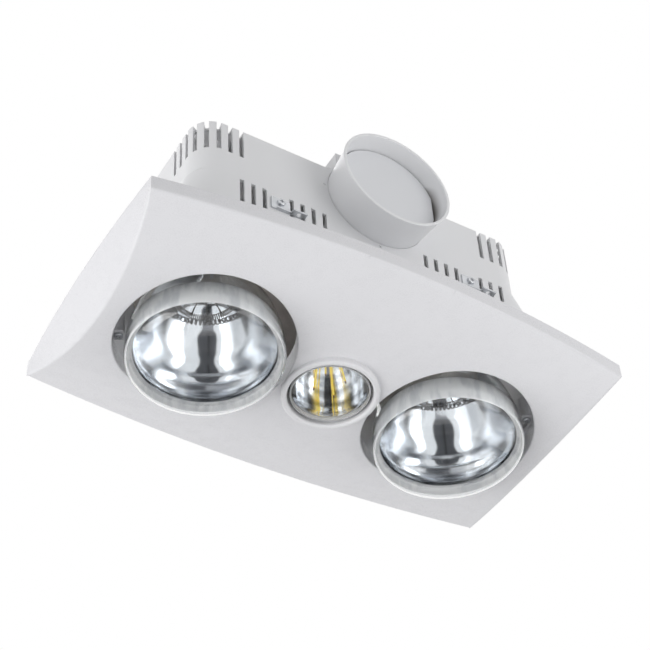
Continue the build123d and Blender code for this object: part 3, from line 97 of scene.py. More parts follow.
# The nodes of one material or of the world: every node comes from the node method
class Shade:
    def __init__(self, owner):
        self.owner = owner
        owner.use_nodes = True
        self.tree = owner.node_tree
        self.tree.nodes.clear()

    def node(self, kind, settings=None, sockets=None, out=0):
        made = self.tree.nodes.new(kind)
        for key, value in (settings or {}).items():
            setattr(made, key, value)
        items = sockets.items() if isinstance(sockets, dict) else enumerate(sockets or [])
        for key, value in items:
            if isinstance(value, Socket):
                self.tree.links.new(value.out, made.inputs[key])
            else:
                made.inputs[key].default_value = value
        return Socket(self, made.outputs[out]) if len(made.outputs) else None

    def objectPoint(self):
        return self.node("ShaderNodeTexCoord", {}, {}, "Object")

    def noise(self, scale, detail=2.0, stretch=(1, 1, 1)):
        place = self.node("ShaderNodeMapping", {}, {"Vector": self.objectPoint(), "Scale": stretch})
        return self.node("ShaderNodeTexNoise", {}, {"Vector": place, "Scale": scale, "Detail": detail})

    def axis(self, name):
        return self.node("ShaderNodeSeparateXYZ", {}, [self.objectPoint()], name)

    # the colours of this node are its inputs 6 and 7 and its output 2
    def mix(self, factor, first, second):
        colours = [(*colour, 1) if isinstance(colour, tuple) else colour for colour in (first, second)]
        return self.node("ShaderNodeMix", {"data_type": "RGBA"}, {0: factor, 6: colours[0], 7: colours[1]}, 2)

    def bump(self, height, distance, strength, rounded=0.0):
        sockets = {"Height": height, "Distance": distance, "Strength": strength}
        if rounded:
            sockets["Normal"] = self.node("ShaderNodeBevel", {"samples": 4}, {"Radius": rounded})
        return self.node("ShaderNodeBump", {}, sockets)

    # 1 on rays from mirrors and through glass, and the given share on the camera's own rays
    def seenShare(self, cameraShare):
        camera, glossy, glass = [self.node("ShaderNodeLightPath", {}, {}, "Is " + kind + " Ray")
                                 for kind in ("Camera", "Glossy", "Transmission")]
        return (camera * cameraShare + glossy + glass).clamp()

    def finish(self, surface, output="ShaderNodeOutputMaterial"):
        self.node(output, {}, {"Surface": surface})
        return self.owner

    def principled(self, sockets):
        return self.finish(self.node("ShaderNodeBsdfPrincipled", {}, sockets))


def newShade(name):
    return Shade(bpy.data.materials.new(name))


# Moulded plastics: colour, roughness, edge rounding and depth of grain in millimetres
plastics = {
    "coverPlastic": ((0.80, 0.80, 0.825), 0.27, 0.0, 0.020),
    "trimPlastic": ((0.81, 0.81, 0.83), 0.27, 0.0, 0.012),
    "bodyPlastic": ((0.845, 0.850, 0.865), 0.36, 0.5, 0.030),
    "flapPlastic": ((0.80, 0.81, 0.835), 0.38, 0.3, 0.025),
    "blackPlastic": ((0.035, 0.035, 0.037), 0.42, 0.25, 0.03),
    "darkPlastic": ((0.07, 0.07, 0.075), 0.45, 0.25, 0.03),
    "terminalPlastic": ((0.80, 0.78, 0.71), 0.33, 0.25, 0.02),
    "porcelain": ((0.83, 0.80, 0.73), 0.16, 0.4, 0.04),
    "rubber": ((0.028, 0.028, 0.028), 0.62, 0.25, 0.05),
    "leadSleeve": ((0.72, 0.69, 0.64), 0.55, 0.0, 0.05),
    "earthSleeve": ((0.22, 0.42, 0.12), 0.5, 0.0, 0.05),
}
moulding = {"cloud": 9, "skin": 1400, "wide": 60, "darker": 0.985, "spread": (0.3, 0.7), "skinRough": 0.02,
            "wideRough": 0.01, "skinRelief": 0.4, "wideRelief": 0.02, "bump": 0.8, "ior": 1.47}


# A faint cloud in the colour and a fine grain in the skin; paintedShade, when given, paints shade onto the
# colour in places
def mouldedPlastic(name, colour, roughness, edgeRound, grain, paintedShade=None):
    shade = newShade(name)
    skin = shade.noise(moulding["skin"])
    wide = shade.noise(moulding["wide"])
    darker = tuple(moulding["darker"] * part for part in colour)
    base = shade.mix(shade.noise(moulding["cloud"]).step(*moulding["spread"]), darker, colour)
    if paintedShade:
        base = paintedShade(shade, base)
    smoothest = roughness - moulding["wideRough"]
    rough = smoothest + moulding["wideRough"] * wide + moulding["skinRough"] * skin
    relief = skin * moulding["skinRelief"] + wide * moulding["wideRelief"]
    normal = shade.bump(relief, grain * mm, moulding["bump"], edgeRound * mm)
    sockets = {"Base Color": base, "Roughness": rough, "Normal": normal, "IOR": moulding["ior"]}
    return shade.principled(sockets)


# Metals: colour, roughness, edge rounding and depth of streaks in millimetres, stretch of the streaks
metals = {
    "zincPlate": ((0.62, 0.635, 0.66), 0.30, 0.25, 0.03, (1, 1, 1)),
    "groundSteel": ((0.62, 0.62, 0.63), 0.25, 0.1, 0.02, (1, 1, 12)),
    "capAluminium": ((0.76, 0.76, 0.74), 0.30, 0.15, 0.02, (1, 1, 1)),
    "shieldSheet": ((0.60, 0.565, 0.52), 0.40, 0.2, 0.05, (12, 1, 1)),
    "brassTurned": ((0.72, 0.56, 0.28), 0.26, 0.15, 0.02, (1, 1, 8)),
    "bronzeBush": ((0.52, 0.38, 0.20), 0.45, 0.15, 0.04, (1, 1, 1)),
    "rotorSteel": ((0.26, 0.26, 0.27), 0.42, 0.1, 0.03, (1, 1, 60)),
    "copperWinding": ((0.50, 0.20, 0.08), 0.33, 0.1, 0.08, (1, 60, 1)),
    "tungsten": ((0.20, 0.195, 0.19), 0.42, 0.0, 0.02, (1, 1, 1)),
    "pinMetal": ((0.34, 0.25, 0.17), 0.35, 0.0, 0.02, (1, 1, 1)),
}
rolling = {"streak": 160, "mottle": 70, "fine": 900, "darker": 0.86, "spread": (0.35, 0.7), "polish": 0.06,
           "streakRough": 0.12, "fineRough": 0.06, "streakRelief": 0.6, "fineRelief": 0.5, "bump": 0.6}


# Plated or rolled metal: streaks from rolling, a mottle from plating and small scratches
def streakedMetal(name, colour, roughness, edgeRound, depth, stretch):
    shade = newShade(name)
    streak = shade.noise(rolling["streak"], 3, stretch)
    fine = shade.noise(rolling["fine"], 2, stretch)
    darker = tuple(rolling["darker"] * part for part in colour)
    base = shade.mix(shade.noise(rolling["mottle"], 4).step(*rolling["spread"]), darker, colour)
    rough = roughness - rolling["polish"] + rolling["streakRough"] * streak + rolling["fineRough"] * fine
    relief = streak * rolling["streakRelief"] + fine * rolling["fineRelief"]
    normal = shade.bump(relief, depth * mm, rolling["bump"], edgeRound * mm)
    sockets = {"Base Color": base, "Roughness": rough, "Metallic": 1.0, "Normal": normal}
    return shade.principled(sockets)


# Pressed clear glass with faint ripples
clearGlass = {"colour": (0.975, 0.985, 0.985, 1), "ripple": 60, "bump": 0.5, "smoothest": 0.004, "haze": 200,
              "hazeRough": 0.01, "ior": 1.46}


def pressedGlass(name, wave):
    shade = newShade(name)
    rough = clearGlass["smoothest"] + clearGlass["hazeRough"] * shade.noise(clearGlass["haze"])
    normal = shade.bump(shade.noise(clearGlass["ripple"]), wave * mm, clearGlass["bump"])
    sockets = {"Base Color": clearGlass["colour"], "Roughness": rough, "Normal": normal}
    sockets.update({"Transmission Weight": 1.0, "IOR": clearGlass["ior"]})
    return shade.principled(sockets)


# Silicone phosphor over the diode strips, with a faint painted glow that brightens its yellow
coating = {"grain": 800, "spread": (0.3, 0.7), "deep": (0.93, 0.62, 0.07), "light": (0.98, 0.78, 0.18),
           "relief": 0.03, "bump": 0.6, "rough": 0.45, "grainRough": 0.1, "paintedGlow": 0.55}


def phosphor():
    shade = newShade("yellowPhosphor")
    grain = shade.noise(coating["grain"])
    base = shade.mix(grain.step(*coating["spread"]), coating["deep"], coating["light"])
    normal = shade.bump(grain, coating["relief"] * mm, coating["bump"])
    rough = coating["rough"] + coating["grainRough"] * grain
    sockets = {"Base Color": base, "Roughness": rough, "Normal": normal}
    sockets.update({"Emission Color": base, "Emission Strength": coating["paintedGlow"]})
    return shade.principled(sockets)


materials = {name: mouldedPlastic(name, *look) for name, look in plastics.items()}
materials.update({name: streakedMetal(name, *look) for name, look in metals.items()})
materials["stemGlass"] = pressedGlass("stemGlass", 0.3)
materials["yellowPhosphor"] = phosphor()
print("materials of the CAD nodes made:", len(materials))

# Which finish each material slot of the record takes on the CAD nodes that stay
slotFinish = {
    "white_cover": "coverPlastic",
    "white_trim": "trimPlastic",
    "white_body": "bodyPlastic",
    "grey_flap": "flapPlastic",
    "zinc": "zincPlate",
    "steel": "groundSteel",
    "lamp_glass": "stemGlass",
    "cap_metal": "capAluminium",
    "filament_wire": "tungsten",
    "yellow_phosphor": "yellowPhosphor",
    "porcelain": "porcelain",
    "shield_aluminium": "shieldSheet",
    "black_plastic": "blackPlastic",
    "dark_plastic": "darkPlastic",
    "brass_fitting": "brassTurned",
    "rotor_steel": "rotorSteel",
    "copper_winding": "copperWinding",
    "bronze_bush": "bronzeBush",
    "black_rubber": "rubber",
    "terminal_plastic": "terminalPlastic",
    "lead_insulation": "leadSleeve",
    "earth_insulation": "earthSleeve",
}
coatedScrews = ("spigot_screws",)  # painted like the housing they sit in
for part in frame["record"]["subparts"]:
    if part["node"] in cadNodes:
        finish = "bodyPlastic" if part["node"] in coatedScrews else slotFinish[part["material_slot"]]
        mesh = cadNodes[part["node"]].data
        mesh.materials.clear()
        mesh.materials.append(materials[finish])
print("CAD nodes finished")


def openSpan(first, last, count):
    return np.linspace(first, last, count, endpoint=False)


# Faces of a grid of points: each joins two rows and two columns
def gridFaces(rows, columns, offset=0, wrapRows=False, wrapColumns=False):
    r = np.arange(rows if wrapRows else rows - 1)
    c = np.arange(columns if wrapColumns else columns - 1)
    i, j = np.meshgrid(r, c, indexing="ij")
    here = i * columns + j
    across = i * columns + (j + 1) % columns
    below = ((i + 1) % rows) * columns + j
    both = ((i + 1) % rows) * columns + (j + 1) % columns
    return offset + np.stack([here, across, both, below], axis=-1).reshape(-1, 4)


# How close, in millimetres, points are merged and slivers dissolved
weld = {"doubles": 0.004, "slivers": 0.002}


# Adds one closed shell of points and quads to a form, with its faces turned out, or in for an inner wall
def shellForm(form, verts, faces, inward):
    shell = bmesh.new()
    rough = bpy.data.meshes.new("shell")
    rough.from_pydata(np.asarray(verts).reshape(-1, 3).tolist(), [], np.asarray(faces).tolist())
    shell.from_mesh(rough)
    bmesh.ops.remove_doubles(shell, verts=shell.verts, dist=weld["doubles"] * mm)
    bmesh.ops.dissolve_degenerate(shell, edges=shell.edges, dist=weld["slivers"] * mm)
    bmesh.ops.recalc_face_normals(shell, faces=shell.faces)
    if inward:
        bmesh.ops.reverse_faces(shell, faces=shell.faces)
    shell.to_mesh(rough)
    shell.free()
    form.from_mesh(rough)
    bpy.data.meshes.remove(rough)


def addObject(name, data):
    made = bpy.data.objects.new(name, data)
    bpy.context.scene.collection.objects.link(made)
    return made


# Puts shells into one object at the origin and gives it its finish and body
def makePiece(name, verts, faces, material, slot, nodes=(), sharp=35.0, inner=None):
    form = bmesh.new()
    shellForm(form, verts, faces, False)
    if inner:
        shellForm(form, inner[0], inner[1], True)
    mesh = bpy.data.meshes.new(name)
    form.to_mesh(mesh)
    form.free()
    mesh.polygons.foreach_set("use_smooth", [True] * len(mesh.polygons))
    mesh.set_sharp_from_angle(angle=math.radians(sharp))
    mesh.materials.append(materials[material])
    piece = addObject(name, mesh)
    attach(piece, "root")
    if nodes:
        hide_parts(*nodes)


# Smooth line through points: each stretch is a cubic whose end slopes follow its neighbours
def smoothLine(points, perStretch):
    p = np.array(points, float)
    padded = np.vstack([2 * p[0] - p[1], p, 2 * p[-1] - p[-2]])
    t = openSpan(0, 1, perStretch)[:, None]
    parts = []
    for a, b, c, d in zip(padded, padded[1:], padded[2:], padded[3:]):
        square = (2 * a - 5 * b + 4 * c - d) * t**2
        cube = (3 * b - a - 3 * c + d) * t**3
        parts.append(0.5 * (2 * b + (c - a) * t + square + cube))
    return np.vstack(parts + [p[-1:]])


# Closed line of straight runs whose corners are rounded by arcs of the given radii
def roundedLine(corners, radii, steps=7):
    p = np.array(corners, float)
    out = []
    for i, radius in enumerate(radii):
        if radius == 0:
            out.append(p[i])
            continue
        before = p[i - 1] - p[i]
        after = p[(i + 1) % len(p)] - p[i]
        before = before / np.linalg.norm(before)
        after = after / np.linalg.norm(after)
        half = math.acos(max(-1, min(1, float(before @ after)))) / 2
        reach = radius / math.tan(half)
        middle = p[i] + (before + after) / np.linalg.norm(before + after) * radius / math.sin(half)
        start = p[i] + before * reach - middle
        end = p[i] + after * reach - middle
        turn = math.pi - 2 * half
        for share in np.linspace(0, 1, steps):
            arm = start * math.sin((1 - share) * turn) + end * math.sin(share * turn)
            out.append(middle + arm / math.sin(turn))
    return np.array(out)


# Points evenly spaced along a closed line
def evenLine(line, count):
    closed = np.vstack([line, line[:1]])
    run = np.concatenate([[0], np.cumsum(np.linalg.norm(np.diff(closed, axis=0), axis=1))])
    at = openSpan(0, run[-1], count)
    return np.stack([np.interp(at, run, closed[:, 0]), np.interp(at, run, closed[:, 1])], axis=-1)


# Profile of (radius, height) turned about an axis through centre
def turnedGrid(profile, centre, columns, axis="z"):
    angle = openSpan(0, fullTurn, columns)
    r = profile[:, :1]
    h = profile[:, 1:] * np.ones_like(angle)
    if axis == "z":
        grid = np.stack([r * np.cos(angle), r * np.sin(angle), h], axis=-1)
    else:
        grid = np.stack([r * np.cos(angle), h, r * np.sin(angle)], axis=-1)
    return grid * mm + np.array(centre) * mm


# The fascia: lengths in millimetres as the part has them
fascia = {
    "halfLength": 215.0,
    "halfWidth": 112.0,
    "nearBow": 18.0,
    "farBow": 13.0,
    "lipBow": 4.5,
    "creaseBow": 13.5,
    "rim": 13.5,
    "crown": 20.5,
    "wall": 2.5,
    "lampX": 113.0,
    "lampY": -2.0,
    "lampHole": 72.0,
    "centreHole": 37.0,
    "cellEdge": 39.0,
    "collarTop": -16.0,
    "edgeRound": 1.8,
    "edgeRoundEnd": 214.0,
    "holeRound": 1.2,
    "creaseBlend": 1.6,
    "lipDrop": 2.2,
    "lipFade": 5.0,
    "leastBulge": 0.006,
}
# How its sheets are divided: a cell at each heat lamp and one between them, in points and rows
sheet = {"side": 110, "centre": 50, "long": 130, "end": 150, "centreRows": 26, "lampRows": 46,
         "cornerRounds": 4, "collarStart": 0.15, "collarRows": 8}


def nearEdge(x, inset):
    return -(fascia["halfWidth"] + fascia["nearBow"] * (1 - (x / fascia["halfLength"]) ** 2) - inset)


def farEdge(x, inset):
    return fascia["halfWidth"] + fascia["farBow"] * (1 - (x / fascia["halfLength"]) ** 2) - inset


def lipEdge(y, inset):
    return fascia["halfLength"] + fascia["lipBow"] * (1 - (y / fascia["halfWidth"]) ** 2) - inset


# Height of the face: a parabola across, deepest in the middle, met by a straight facet at each end.
# The facet starts at the foot of a low lip, which is as high as the rim at the corners.
def faceHeight(x, y, inset=0.0):
    reach = np.where(y < 0, -nearEdge(x, inset), farEdge(x, inset))
    low = inset - fascia["rim"] - fascia["crown"]
    crowned = low + fascia["crown"] * (y / reach) ** 2
    bulge = np.maximum(1 - (y / fascia["halfWidth"]) ** 2, fascia["leastBulge"])
    run = (fascia["lipBow"] + fascia["creaseBow"]) * bulge
    lip = fascia["halfLength"] + fascia["lipBow"] * bulge - inset
    nearCorner = np.exp(-(fascia["halfWidth"] - np.abs(y)) / fascia["lipFade"])
    drop = fascia["lipDrop"] + (fascia["rim"] - fascia["lipDrop"]) * nearCorner
    drop = np.clip(drop, 0, fascia["rim"])
    facet = -drop - (fascia["rim"] + fascia["crown"] * bulge - drop) * (lip - np.abs(x)) / run
    blend = fascia["creaseBlend"]
    share = np.clip(0.5 + 0.5 * (facet - crowned) / blend, 0, 1)
    return np.minimum(crowned + (facet - crowned) * share + blend * share * (1 - share), 0)


# Rise of an edge rounded with a quarter circle, at a distance in from the edge
def roundRise(distance, radius):
    inward = np.clip(radius - distance, 0, radius)
    return radius - np.sqrt(radius**2 - inward**2)


def planRow(x, y):
    return np.stack(np.broadcast_arrays(x, y), axis=-1)


# Outline of a cell in plan; the end cells meet the lip at corners that are found in a few rounds
def cellOutline(middle, inset):
    edge = fascia["cellEdge"]
    nearEnd, farEnd = nearEdge(edge, inset), farEdge(edge, inset)
    back = openSpan(farEnd, nearEnd, sheet["side"])
    if middle == 0:
        x = openSpan(-edge, edge, sheet["centre"])
        y = openSpan(nearEnd, farEnd, sheet["side"])
        return np.vstack([planRow(x, nearEdge(x, inset)), planRow(edge, y), planRow(-x, farEdge(-x, inset)),
                          planRow(-edge, back)])
    corners = []
    for bound in (nearEdge, farEdge):
        x = fascia["halfLength"] - inset
        for _ in range(sheet["cornerRounds"]):
            x = lipEdge(bound(x, inset), inset)
        corners.append((x, bound(x, inset)))
    x = openSpan(edge, corners[0][0], sheet["long"])
    y = openSpan(corners[0][1], corners[1][1], sheet["end"])
    inwards = openSpan(corners[1][0], edge, sheet["long"])
    return np.vstack([planRow(x, nearEdge(x, inset)), planRow(lipEdge(y, inset), y),
                      planRow(inwards, farEdge(inwards, inset)), planRow(edge, back)])


# One sheet of a cell: rows run from its outline in to its hole, evenly in the cosine of the row
def cellSheet(middle, hole, inset, rows):
    outline = cellOutline(middle, inset)
    centre = np.array([middle, fascia["lampY"]])
    spoke = outline - centre
    rim = centre + spoke / np.linalg.norm(spoke, axis=1, keepdims=True) * hole
    share = (1 - np.cos(np.linspace(0, math.pi, rows))) / 2
    plan = outline[None] + (rim - outline)[None] * share[:, None, None]
    x = plan[..., 0]
    y = plan[..., 1]
    z = faceHeight(x, y, inset)
    if inset == 0:
        edgeGap = np.minimum(y - nearEdge(x, 0), farEdge(x, 0) - y)
        holeGap = np.hypot(x - middle, y - fascia["lampY"]) - hole
        z = z + roundRise(edgeGap, fascia["edgeRound"]) * (np.abs(x) < fascia["edgeRoundEnd"])
        z = z + roundRise(holeGap, fascia["holeRound"])
    return np.stack([x, y, z], axis=-1)


# The collar that turns up from a lamp's hole: rows from the face to the collar's top, then over to its back
def collarRows(faceRow, backRow):
    top = fascia["collarTop"]
    rows = []
    for share in np.linspace(sheet["collarStart"], 1, sheet["collarRows"]):
        row = faceRow.copy()
        row[:, 2] = row[:, 2] + (top - row[:, 2]) * share
        rows.append(row)
    back = backRow.copy()
    back[:, 2] = top
    return rows + [back]


# The wall at the outline: up to the ceiling, over the top of the sheet and down inside
def skirtRows(outerRow, innerRow):
    ceiling = outerRow.copy()
    ceiling[:, 2] = 0
    inside = innerRow.copy()
    inside[:, 2] = 0
    return np.stack([outerRow, 0.5 * (outerRow + ceiling), ceiling, inside, innerRow])


def fasciaShell():
    wall = fascia["wall"]
    verts = []
    faces = []
    count = 0
    for middle, hole, rows in ((0.0, fascia["centreHole"], sheet["centreRows"]),
                               (fascia["lampX"], fascia["lampHole"], sheet["lampRows"])):
        outer = cellSheet(middle, hole, 0.0, rows)
        inner = cellSheet(middle, hole + wall if middle else hole, wall, rows)[::-1]
        collar = collarRows(outer[-1], inner[0]) if middle else []
        grid = np.concatenate([outer, np.array(collar).reshape(-1, outer.shape[1], 3), inner])
        skirt = skirtRows(grid[0], grid[-1])
        columns = grid.shape[1]
        # no wall where this cell meets the next one
        onCell = np.abs(np.abs(skirt.reshape(-1, 3)[:, 0]) - fascia["cellEdge"]) < 1e-6
        strip = gridFaces(skirt.shape[0], columns, wrapColumns=True)
        strip = strip[~onCell[strip].all(axis=1)]
        for side in ((1, -1) if middle else (1,)):
            flip = np.array([side, 1, 1])
            verts.append((grid * flip).reshape(-1, 3))
            faces.append(gridFaces(grid.shape[0], columns, count, wrapColumns=True))
            count += grid.shape[0] * columns
            verts.append((skirt * flip).reshape(-1, 3))
            faces.append(strip + count)
            count += skirt.shape[0] * columns
    for side in (-1, 1):
        for turn in tab["turns"]:
            block, quads = fasciaTab(side, turn)
            verts.append(block)
            faces.append(quads + count)
            count += len(block)
    return np.vstack(verts) * mm, np.vstack(faces)


# Screw tabs inside the collars, measured out from the lamp's axis
tab = {"inner": 63.5, "outer": 73.5, "half": 5.5, "round": 1.6, "holeAt": 67.75, "hole": 1.95, "low": -18.0,
       "high": -16.0, "ease": 0.35, "bend": 0.3, "turns": (-30, 30), "points": 72}


# One tab: a rounded plate with its hole, both edges eased, its rows from the outline in and back
def fasciaTab(side, turn):
    inner, outer, half = tab["inner"], tab["outer"], tab["half"]
    low, high, ease = tab["low"], tab["high"], tab["ease"]
    bend = tab["bend"] * ease
    outline = roundedLine([(inner, -half), (outer, -half), (outer, half), (inner, half)],
                          (tab["round"], 0, 0, tab["round"]))
    spaced = evenLine(outline, tab["points"])
    hole = np.array((tab["holeAt"], 0))
    spoke = (spaced - hole) / np.linalg.norm(spaced - hole, axis=1, keepdims=True)
    ring = hole + spoke * tab["hole"]
    rows = [
        (spaced, 0, low + ease),
        (spaced, bend, low + bend),
        (spaced, ease, low),
        (ring, -ease, low),
        (ring, 0, low + ease),
        (ring, 0, high - ease),
        (ring, -ease, high),
        (spaced, ease, high),
        (spaced, bend, high - bend),
        (spaced, 0, high - ease),
    ]
    grid = np.vstack([np.column_stack([line - spoke * shift, np.full(len(line), z)])
                      for line, shift, z in rows])
    angle = math.radians(turn)
    x = grid[:, 0] * math.cos(angle) - grid[:, 1] * math.sin(angle)
    y = grid[:, 0] * math.sin(angle) + grid[:, 1] * math.cos(angle)
    placed = np.stack([side * (fascia["lampX"] + x), fascia["lampY"] + y, grid[:, 2]], axis=-1)
    return placed, gridFaces(len(rows), tab["points"], wrapRows=True, wrapColumns=True)


shellVerts, shellFaces = fasciaShell()
makePiece("fasciaCover", shellVerts, shellFaces, "coverPlastic", "white_cover", ["fascia"], sharp=50)
print("fascia made")

# The trim ring round the centre lamp: a rolled bead whose outer foot follows the face
trimRing = {"outer": 40.3, "opening": 35.0, "low": -37.5, "bead": 1.9, "openingLow": -33.0, "sleeve": 36.8,
            "sleeveTop": -20.0, "foot": 0.3, "sleeveStep": 0.2, "crestPoints": 17, "columns": 160}


# The heights of the first row and of the last two come from the face
def trimRingGrid():
    outer, opening, bead = trimRing["outer"], trimRing["opening"], trimRing["bead"]
    sleeve, top = trimRing["sleeve"], trimRing["sleeveTop"]
    angle = np.linspace(0, math.pi, trimRing["crestPoints"])
    crest = np.stack([(outer + opening) / 2 + (outer - opening) / 2 * np.cos(angle),
                      trimRing["low"] + bead - bead * np.sin(angle)], axis=-1)
    inside = [(opening, trimRing["openingLow"]), (opening, top), (sleeve, top)]
    profile = np.vstack([[(outer, 0)], crest, inside, [(sleeve, 0), (sleeve, 0)]])
    grid = turnedGrid(profile, (0, fascia["lampY"], 0), trimRing["columns"])
    foot = faceHeight(grid[0, :, 0] / mm, grid[0, :, 1] / mm) + trimRing["foot"]
    grid[0, :, 2] = foot * mm
    grid[-1, :, 2] = foot * mm
    grid[-2, :, 2] = (foot + trimRing["sleeveStep"]) * mm
    return grid


ring = trimRingGrid()
makePiece("centreTrim", ring, gridFaces(len(ring), trimRing["columns"], wrapRows=True, wrapColumns=True),
          "trimPlastic", "white_trim", ["centre_trim_ring"], sharp=60)
print("trim ring made")

# The camera's line of sight in plan, for the reflections painted on the bowls where that camera sees them
sight = {"cosine": 0.861, "sine": 0.508}


# Place on a bowl, across and along that line and up; pitch is how far the lamp stands from the middle
def bowlPlace(shade, pitch):
    x, y, z = shade.axis("X"), shade.axis("Y"), shade.axis("Z")
    awayX = x - (x.step(-mm, mm) * 2 - 1) * pitch
    awayY = y - fascia["lampY"] * mm
    across = awayX * sight["cosine"] - awayY * sight["sine"]
    along = awayX * sight["sine"] + awayY * sight["cosine"]
    return across, along, z


# Painted reflections on a heat lamp's silver, in metres: a darker band at each side and a darker patch at the
# far foot, both painted into the colour as reflections, and softer lights at the sides and all round the foot
bowlPaintedReflections = {"bandAt": 0.047, "bandHalf": 0.008, "bandTop": (0.012, 0.030), "band": 0.55,
             "footHalf": 0.021, "footTop": (-0.024, -0.018), "footStart": (0.0, 0.02), "foot": 0.75,
             "softSide": (0.024, 0.038), "softTop": (-0.026, -0.020), "soft": 0.10,
             "tone": (0.34, 0.36, 0.40)}


def heatPaintedReflections(shade):
    across, along, z = bowlPlace(shade, fascia["lampX"] * mm)
    band = 1 - (abs(abs(across) - bowlPaintedReflections["bandAt"]) / bowlPaintedReflections["bandHalf"]).clamp() ** 2
    band = band * bowlPaintedReflections["band"] * (1 - z.step(*bowlPaintedReflections["bandTop"]))
    foot = 1 - (abs(across) / bowlPaintedReflections["footHalf"]).clamp() ** 4
    foot = foot * (1 - z.step(*bowlPaintedReflections["footTop"])) * along.step(*bowlPaintedReflections["footStart"])
    softness = (abs(across).step(*bowlPaintedReflections["softSide"]) + 1 - z.step(*bowlPaintedReflections["softTop"])).clamp()
    return (band + foot * bowlPaintedReflections["foot"]).clamp(), bowlPaintedReflections["tone"], softness * bowlPaintedReflections["soft"]


# Painted reflections on the centre lamp's silver: rings painted darker as reflections, and softer lights at
# the sides, in metres
ringPaintedReflections = {"pitch": 0.011, "share": 0.7, "softSide": (0.008, 0.014), "soft": 0.07,
             "tone": (0.36, 0.37, 0.39)}


def spotPaintedReflections(shade):
    across, _, z = bowlPlace(shade, 0.0)
    ring = (z * (fullTurn / ringPaintedReflections["pitch"])).sine() * 0.5 + 0.5
    softness = abs(across).step(*ringPaintedReflections["softSide"])
    return ring**2 * ringPaintedReflections["share"], ringPaintedReflections["tone"], softness * ringPaintedReflections["soft"]


# Silver coat of a reflector bowl: mirror bright with a slow waviness from the blown glass
silver = {"wave": 30, "haze": 120, "spread": (0.3, 0.8), "dull": (0.905, 0.925, 0.95),
          "bright": (0.94, 0.955, 0.975), "hazeRough": 0.02, "bump": 0.5}


def silverCoat(name, roughness, wave, paintedReflections):
    shade = newShade(name)
    share, tone, softness = paintedReflections(shade)
    haze = shade.noise(silver["haze"])
    plainSilver = shade.mix(haze.step(*silver["spread"]), silver["dull"], silver["bright"])
    rough = roughness + silver["hazeRough"] * haze + softness
    normal = shade.bump(shade.noise(silver["wave"], 1), wave * mm, silver["bump"])
    # the painted reflections darken the silver's colour by their share
    base = shade.mix(share, plainSilver, tone)
    return shade.principled({"Base Color": base, "Roughness": rough, "Metallic": 1.0, "Normal": normal})


# Pressed rim of a lens: milky with streaks that run round it, with painted shade dark in the seam where the
# silver starts
rimGlass = {"streak": 130, "stretch": (1, 1, 0.3), "broad": 28, "streakShare": 0.7, "broadShare": 0.4,
            "spread": (0.42, 0.62), "dull": (0.74, 0.755, 0.78), "bright": (0.96, 0.965, 0.975),
            "seamShade": (0.0562, 0.0569), "dark": (0.10, 0.105, 0.115), "relief": 0.35, "bump": 0.7,
            "rough": 0.10, "streakRough": 0.2, "ior": 1.5, "coat": 0.6, "coatRough": 0.05}


def frostedRim():
    shade = newShade("frostedRim")
    streak = shade.noise(rimGlass["streak"], 3, rimGlass["stretch"])
    broad = shade.noise(rimGlass["broad"])
    awayX = abs(shade.axis("X")) - fascia["lampX"] * mm
    awayY = shade.axis("Y") - fascia["lampY"] * mm
    # painted shade: a dark ring where the rim meets the silver
    seamShade = 1 - ((awayX**2 + awayY**2) ** 0.5).step(*rimGlass["seamShade"])
    milk = (streak * rimGlass["streakShare"] + broad * rimGlass["broadShare"]).step(*rimGlass["spread"])
    base = shade.mix(seamShade, shade.mix(milk, rimGlass["dull"], rimGlass["bright"]), rimGlass["dark"])
    normal = shade.bump(streak + broad, rimGlass["relief"] * mm, rimGlass["bump"])
    sockets = {"Base Color": base, "Roughness": rimGlass["rough"] + rimGlass["streakRough"] * streak,
               "Normal": normal, "IOR": rimGlass["ior"]}
    sockets.update({"Coat Weight": rimGlass["coat"], "Coat Roughness": rimGlass["coatRough"]})
    return shade.principled(sockets)


materials["bowlSilver"] = silverCoat("bowlSilver", 0.07, 0.03, heatPaintedReflections)
materials["spotSilver"] = silverCoat("spotSilver", 0.06, 0.01, spotPaintedReflections)
materials["lampGlass"] = pressedGlass("lampGlass", 0.02)
materials["frostedRim"] = frostedRim()

# The lamps as lines of (radius, height): the glass from the lens to the closed seal, the silver and the rim
heatLamp = {
    "wall": 1.2,
    "line": [(0, -64), (16, -63.5), (31, -62.0), (44, -59.5), (54.0, -55.8), (60.4, -51.2), (62.8, -45.8),
             (62.9, -38), (62.4, -31), (61.0, -22), (55.6, -3), (45.4, 17), (32.4, 34), (22.6, 47), (19, 60)],
    "neck": [(19, 73.6), (18, 75.6), (11.5, 80), (11.5, 88), (0, 88)],
    "silver": [(56.6, -38.4), (57.6, -37.8), (58.4, -33.4), (57.4, -28.0), (53.6, -20.0), (50.2, -10.0),
               (46.5, 4.0), (40.0, 18.0), (30.0, 33.0), (21.4, 46), (17.6, 60)],
    "rim": [(56.5, -39.2), (60.3, -39.6), (60.7, -46.4), (61.2, -46.7), (61.4, -42.0), (61.4, -36.5),
            (60.9, -31.0), (59.6, -22.4), (59.0, -22.4), (59.4, -31.0), (59.1, -36.0), (58.2, -38.4)],
    "ripple": 0.0,
}
